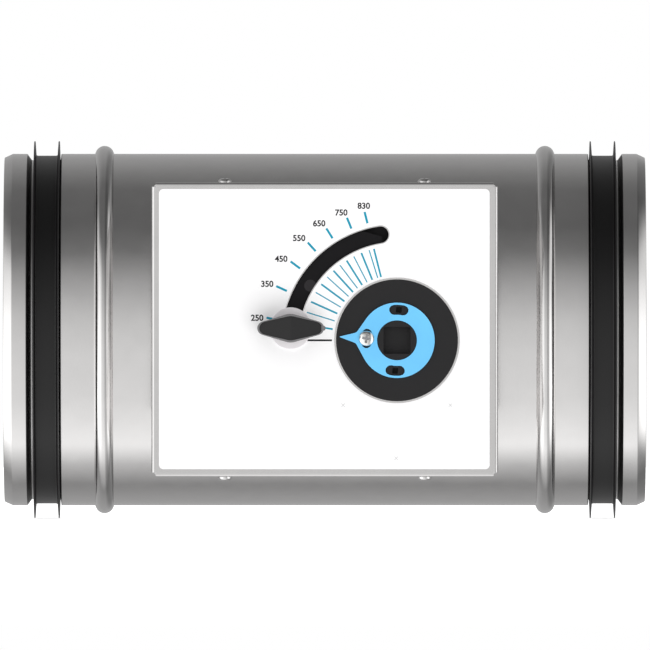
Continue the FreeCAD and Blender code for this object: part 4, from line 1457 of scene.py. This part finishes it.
@dataclass
class Spring:
    """The wound spring between crank and lever, in millimetres and degrees."""

    radius: float = 10.4
    wire: float = 1.8
    floor: float = 107.3
    top: float = 115.0
    start: float = 222.7
    sweep: float = 1436.6
    first_leg: float = 16.6
    last_leg: float = 21.5
    sections: int = 289
    sides: int = 16
    # Each half: name, first section, the one after its last, bodies, heights where it starts and ends to bend
    halves: tuple[tuple[str, int, int, tuple[Body, Body], tuple[float, float]], ...] = (
        ("spring_lower", 0, 147, (Body.BLADE, Body.DUCT), (108.25, 110.2)),
        ("spring_upper", 146, 293, (Body.DUCT, Body.SETTING), (112.1, 114.05)))

    def tube(self, name: str, first: int, last: int) -> bpy.types.Object:
        """Part of the round wire: a circle carried along a leg, the coil and the other leg.

        The coil's middle line is (R cos t, R sin t) with its height rising evenly with t; each leg
        leaves it along the tangent. The circle stands on the radius and the axis.

        Args:
            name: Name of the piece.
            first: Number of the first section.
            last: Number after the last section.

        Returns:
            The piece.
        """
        share = np.linspace(0, 1, self.sections)
        turn = np.radians(self.start - self.sweep * share)
        turn = np.concatenate([[turn[0]] * 2, turn, [turn[-1]] * 2])
        along = np.concatenate([[self.first_leg, self.first_leg / 2], 0 * share,
                                [-self.last_leg / 2, -self.last_leg]])
        rise = self.floor + (self.top - self.floor) * np.concatenate([[0, 0], share, [1, 1]])
        radial = np.stack([np.cos(turn), 0 * turn, np.sin(turn)], axis=1)
        tangent = np.stack([-np.sin(turn), 0 * turn, np.cos(turn)], axis=1)
        middle = self.radius * radial + along[:, None] * tangent - rise[:, None] * (0, 1, 0)
        middle = (middle + (AXIS_X, 0, AXIS_Z))[first:last]
        around = np.arange(self.sides) * TURN / self.sides
        axis = np.array([0.0, -1.0, 0.0])
        r = self.wire / 2
        skin = (middle[:, None] + r * np.cos(around)[None, :, None] * radial[first:last][:, None]
                + r * np.sin(around)[None, :, None] * axis)
        ends = [middle[k, None, None].repeat(self.sides, 1) for k in (0, -1)]
        points = MM * np.concatenate([ends[0], skin, ends[1]])
        return mesh_piece(name, points.reshape(-1, 3), grid_quads(len(points), self.sides, False, True), 40.0)

    def build(self, shop: Workshop) -> None:
        """Makes the lower and upper half of the wire.

        Args:
            shop: Where they are dressed.
        """
        for name, first, last, bodies, heights in self.halves:
            coil = shop.dress(self.tube(name, first, last), "dark_steel")
            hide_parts("torsion_spring")
            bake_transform(coil)
            LOG.info("%s bends between %s and %s", name, *bodies)


@dataclass
class Bellows:
    """The pleated rubber box under the blade, in millimetres and degrees."""

    inner: float = 28.0
    outer: float = 72.0
    half: float = 30.0
    foot: float = -14.0
    foot_gap: float = 0.05
    head: float = 2.45
    corner: float = 6.0
    fold_corner: float = 3.0
    fold_edge: float = 0.5
    rest_deg: float = 12.0
    folds: int = 8
    depth: float = 5.5
    lean_deg: float = 6.0
    bend: tuple[float, float] = (-10.88, 5.2)  # where the bend starts and ends

    def build(self, shop: Workshop) -> None:
        """Makes the pleats.

        At share s of the height, point (u, y) of the outline, drawn in by the fold's depth on
        every second ring, lies at (1 - s) foot(u, y) + s head(u, y).

        Args:
            shop: Where they are dressed.
        """
        rings = 2 * self.folds + 1
        share = np.linspace(0, 1, rings)
        middle, width = (self.inner + self.outer) / 2, self.outer - self.inner
        wide = rounded_rectangle(middle, 0, width, 2 * self.half, self.corner, 8)
        depth = self.depth
        narrow = rounded_rectangle(middle, 0, width - 2 * depth, 2 * (self.half - depth), self.fold_corner, 8)
        folded = (np.arange(rings) % 2)[:, None, None]
        line = wide[None] * (1 - folded) + narrow[None] * folded
        cap = line[:1] * 0 + (middle, 0)
        line = np.concatenate([cap, line, cap])
        share = np.concatenate([[0], share, [1]])[:, None]
        a = math.radians(self.rest_deg)
        u, y = line[..., 0], line[..., 1]
        head_x = AXIS_X + u * math.cos(a) - self.head * math.sin(a)
        head_z = AXIS_Z + u * math.sin(a) + self.head * math.cos(a)
        x = (1 - share) * (AXIS_X + u) + share * head_x
        z = (1 - share) * (self.foot + self.foot_gap) + share * head_z
        points = MM * np.stack([x, y, z], axis=-1).reshape(-1, 3)
        box = mesh_piece("pleated_box", points, grid_quads(rings + 2, line.shape[1], False, True), 60.0)
        bevelled(box, self.fold_edge)
        shop.dress(box, "bellows_rubber")
        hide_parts("damping_bellows")
        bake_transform(box)
        LOG.info("%s bends between duct and blade", box.name)


@dataclass
class Studio:
    """The floor, the soft light and the camera, in metres and degrees."""

    floor_z: float = -0.10675
    floor_half: float = 6.0
    floor_tones: tuple[float, float] = (0.9, 0.92)
    floor_glow: float = 0.7
    dome: float = 0.8
    lens: float = 1650.0
    sensor: float = 36.0
    frame_width: float = 0.3671
    aim: tuple[float, float, float] = (-0.1722, -0.045, 0.0026)
    key_turn: tuple[float, float] = (119.0, 24.0)  # tilt, turn
    key_power: float = 1.2
    key_spread: float = 55.0
    # The sky in reflections: angle over the X axis, nought in front, and brightness
    sky: tuple[tuple[float, float], ...] = (
        (-180, 0.46), (-140, 0.4), (-122, 0.32), (-100, 0.68), (-82, 1.3), (-66, 1.16), (-45, 1.0),
        (-15, 0.92), (5, 0.8), (32, 0.48), (52, 0.22), (72, 0.148), (105, 0.163), (140, 0.355),
        (160, 0.41), (180, 0.46))
    # Each side box: its side, where it starts and is full along x, and its strength
    side_boxes: tuple[tuple[float, float, float, float], ...] = (
        (-1.0, 0.12, 0.8, 0.85), (1.0, 0.5, 0.76, 0.8))
    side_tilt: float = -0.1
    # Where the side boxes are dark and where they are full: upwards, backwards and along x
    side_fades: tuple[tuple[float, float], ...] = ((0.9, 0.58), (0.45, 0.0), (1.0, 0.88))
    gap: tuple[tuple[float, float], ...] = ((0.08, 0.34), (0.5, 0.74))  # its two sides along x
    gap_depth: float = 0.42

    def floor(self) -> None:
        """A pale matt floor that the duct stands on."""
        corner = np.array([(-1, -1), (1, -1), (1, 1), (-1, 1)]) * self.floor_half
        floor = mesh_piece("studio_floor", np.hstack([corner, np.full((4, 1), self.floor_z)]), [(0, 1, 2, 3)])
        material, tree, surface = new_material("studio_paper")
        grain = tree.effect(fine_grain(), Scale=400.0)
        dim, pale = ((tone, tone, tone, 1) for tone in self.floor_tones)
        colour = tree.blend(grain["Patches"], dim, pale)
        rough = tree.math("MULTIPLY_ADD", grain["Patches"], 0.1, 0.75)
        finish_surface(tree, surface, colour, rough, grain["Height"], 0.02)
        surface.inputs["Emission Color"].default_value = (1.0, 1.0, 1.0, 1.0)
        surface.inputs["Emission Strength"].default_value = self.floor_glow
        floor.data.materials.append(material)
        floor.visible_glossy = floor.visible_diffuse = floor.visible_shadow = False

    def front_glow(self, tree: Tree, x: bpy.types.NodeSocket, y: bpy.types.NodeSocket,
                   z: bpy.types.NodeSocket) -> bpy.types.NodeSocket:
        """The sky in reflections: its tone goes by the angle over the X axis, dimmer in a gap of x.

        Args:
            tree: The world's tree.
            x: The direction's part along the duct.
            y: Its part away from the console.
            z: Its upward part.

        Returns:
            The brightness.
        """
        turn = tree.math("ARCTAN2", z, tree.math("MULTIPLY", y, -1.0))
        ramp = tree.add("ShaderNodeValToRGB", {0: tree.math("MULTIPLY_ADD", turn, 1 / TURN, 0.5)})
        stops = ramp.color_ramp.elements
        for place, tone in self.sky[1:-1]:
            stops.new(place / 360 + 0.5).color = (tone / 2, tone / 2, tone / 2, 1)
        for stop, (_, tone) in ((stops[0], self.sky[0]), (stops[-1], self.sky[-1])):
            stop.color = (tone / 2, tone / 2, tone / 2, 1)
        first, last = (tree.step(x, near, far, self.gap_depth) for near, far in self.gap)
        kept = tree.math("SUBTRACT", 1.0, tree.math("SUBTRACT", first, last))
        return tree.math("MULTIPLY", tree.math("MULTIPLY", ramp.outputs[0], 2.0), kept)

    def side_glow(self, tree: Tree, x: bpy.types.NodeSocket, y: bpy.types.NodeSocket,
                  z: bpy.types.NodeSocket) -> bpy.types.NodeSocket:
        """Two soft boxes at the sides, which fade out upwards, backwards and at their far ends.

        Args:
            tree: The world's tree.
            x: The direction's part along the duct.
            y: Its part away from the console.
            z: Its upward part.

        Returns:
            The brightness.
        """
        boxes = 0.0
        for sign, near, far, strength in self.side_boxes:
            reach = tree.step(tree.math("MULTIPLY", x, sign), near, far)
            boxes = tree.math("MULTIPLY_ADD", reach, strength, boxes)
        lift = tree.math("MULTIPLY_ADD", x, self.side_tilt, z)
        for way, fade in zip((lift, y, tree.math("ABSOLUTE", x)), self.side_fades):
            boxes = tree.math("MULTIPLY", boxes, tree.step(way, *fade))
        return boxes

    def light(self) -> None:
        """White all round, with a soft sky for reflections: bright below and in front, dim above."""
        world = bpy.data.worlds.new("soft_studio")
        bpy.context.scene.world = world
        world.use_nodes = True
        world.node_tree.nodes.clear()
        tree = Tree(world.node_tree)
        sky = tree.add("ShaderNodeTexCoord").outputs["Generated"]
        way = tree.add("ShaderNodeSeparateXYZ", {0: sky}).outputs
        glow = tree.math("ADD", self.front_glow(tree, *way), self.side_glow(tree, *way))
        path = tree.add("ShaderNodeLightPath").outputs
        dome, gloss, seen = (tree.add("ShaderNodeBackground", {0: (1, 1, 1, 1), 1: strength}).outputs[0]
                             for strength in (self.dome, glow, 1.0))
        first = tree.add("ShaderNodeMixShader", {0: path["Is Glossy Ray"], 1: dome, 2: gloss}).outputs[0]
        last = tree.add("ShaderNodeMixShader", {0: path["Is Camera Ray"], 1: first, 2: seen}).outputs[0]
        tree.add("ShaderNodeOutputWorld", {0: last})

    def key(self) -> None:
        """A wide soft lamp from the lower right, in front."""
        lamp = bpy.data.lights.new("soft_key", "SUN")
        lamp.energy, lamp.angle = self.key_power, math.radians(self.key_spread)
        holder = linked("soft_key", lamp)
        holder.rotation_euler = (math.radians(self.key_turn[0]), 0.0, math.radians(self.key_turn[1]))
        holder.visible_glossy = False

    def camera(self) -> None:
        """A long lens straight in front of the console."""
        data = bpy.data.cameras.new("front_camera")
        data.lens, data.sensor_width = self.lens, self.sensor
        data.clip_start, data.clip_end = 0.5, 100.0
        camera = linked("front_camera", data)
        camera.location = (self.aim[0], self.aim[1] - self.frame_width * self.lens / self.sensor, self.aim[2])
        camera.rotation_euler = (math.pi / 2, 0.0, 0.0)
        bpy.context.scene.camera = camera

    def build(self) -> None:
        """Sets the stage."""
        self.floor()
        self.light()
        self.key()
        self.camera()
        bpy.context.scene.view_settings.view_transform = "Standard"


def main() -> None:
    """Builds the studio and every sub-assembly."""
    logging.basicConfig(level=logging.INFO, format="%(name)s: %(message)s")
    Studio().build()
    shop = Workshop()
    for assembly in (Casing(), Console(), Dial(), Clamp(), Works(), Spring(), Bellows()):
        assembly.build(shop)
        LOG.info("%s is done", type(assembly).__name__)


if __name__ == "__main__":
    main()
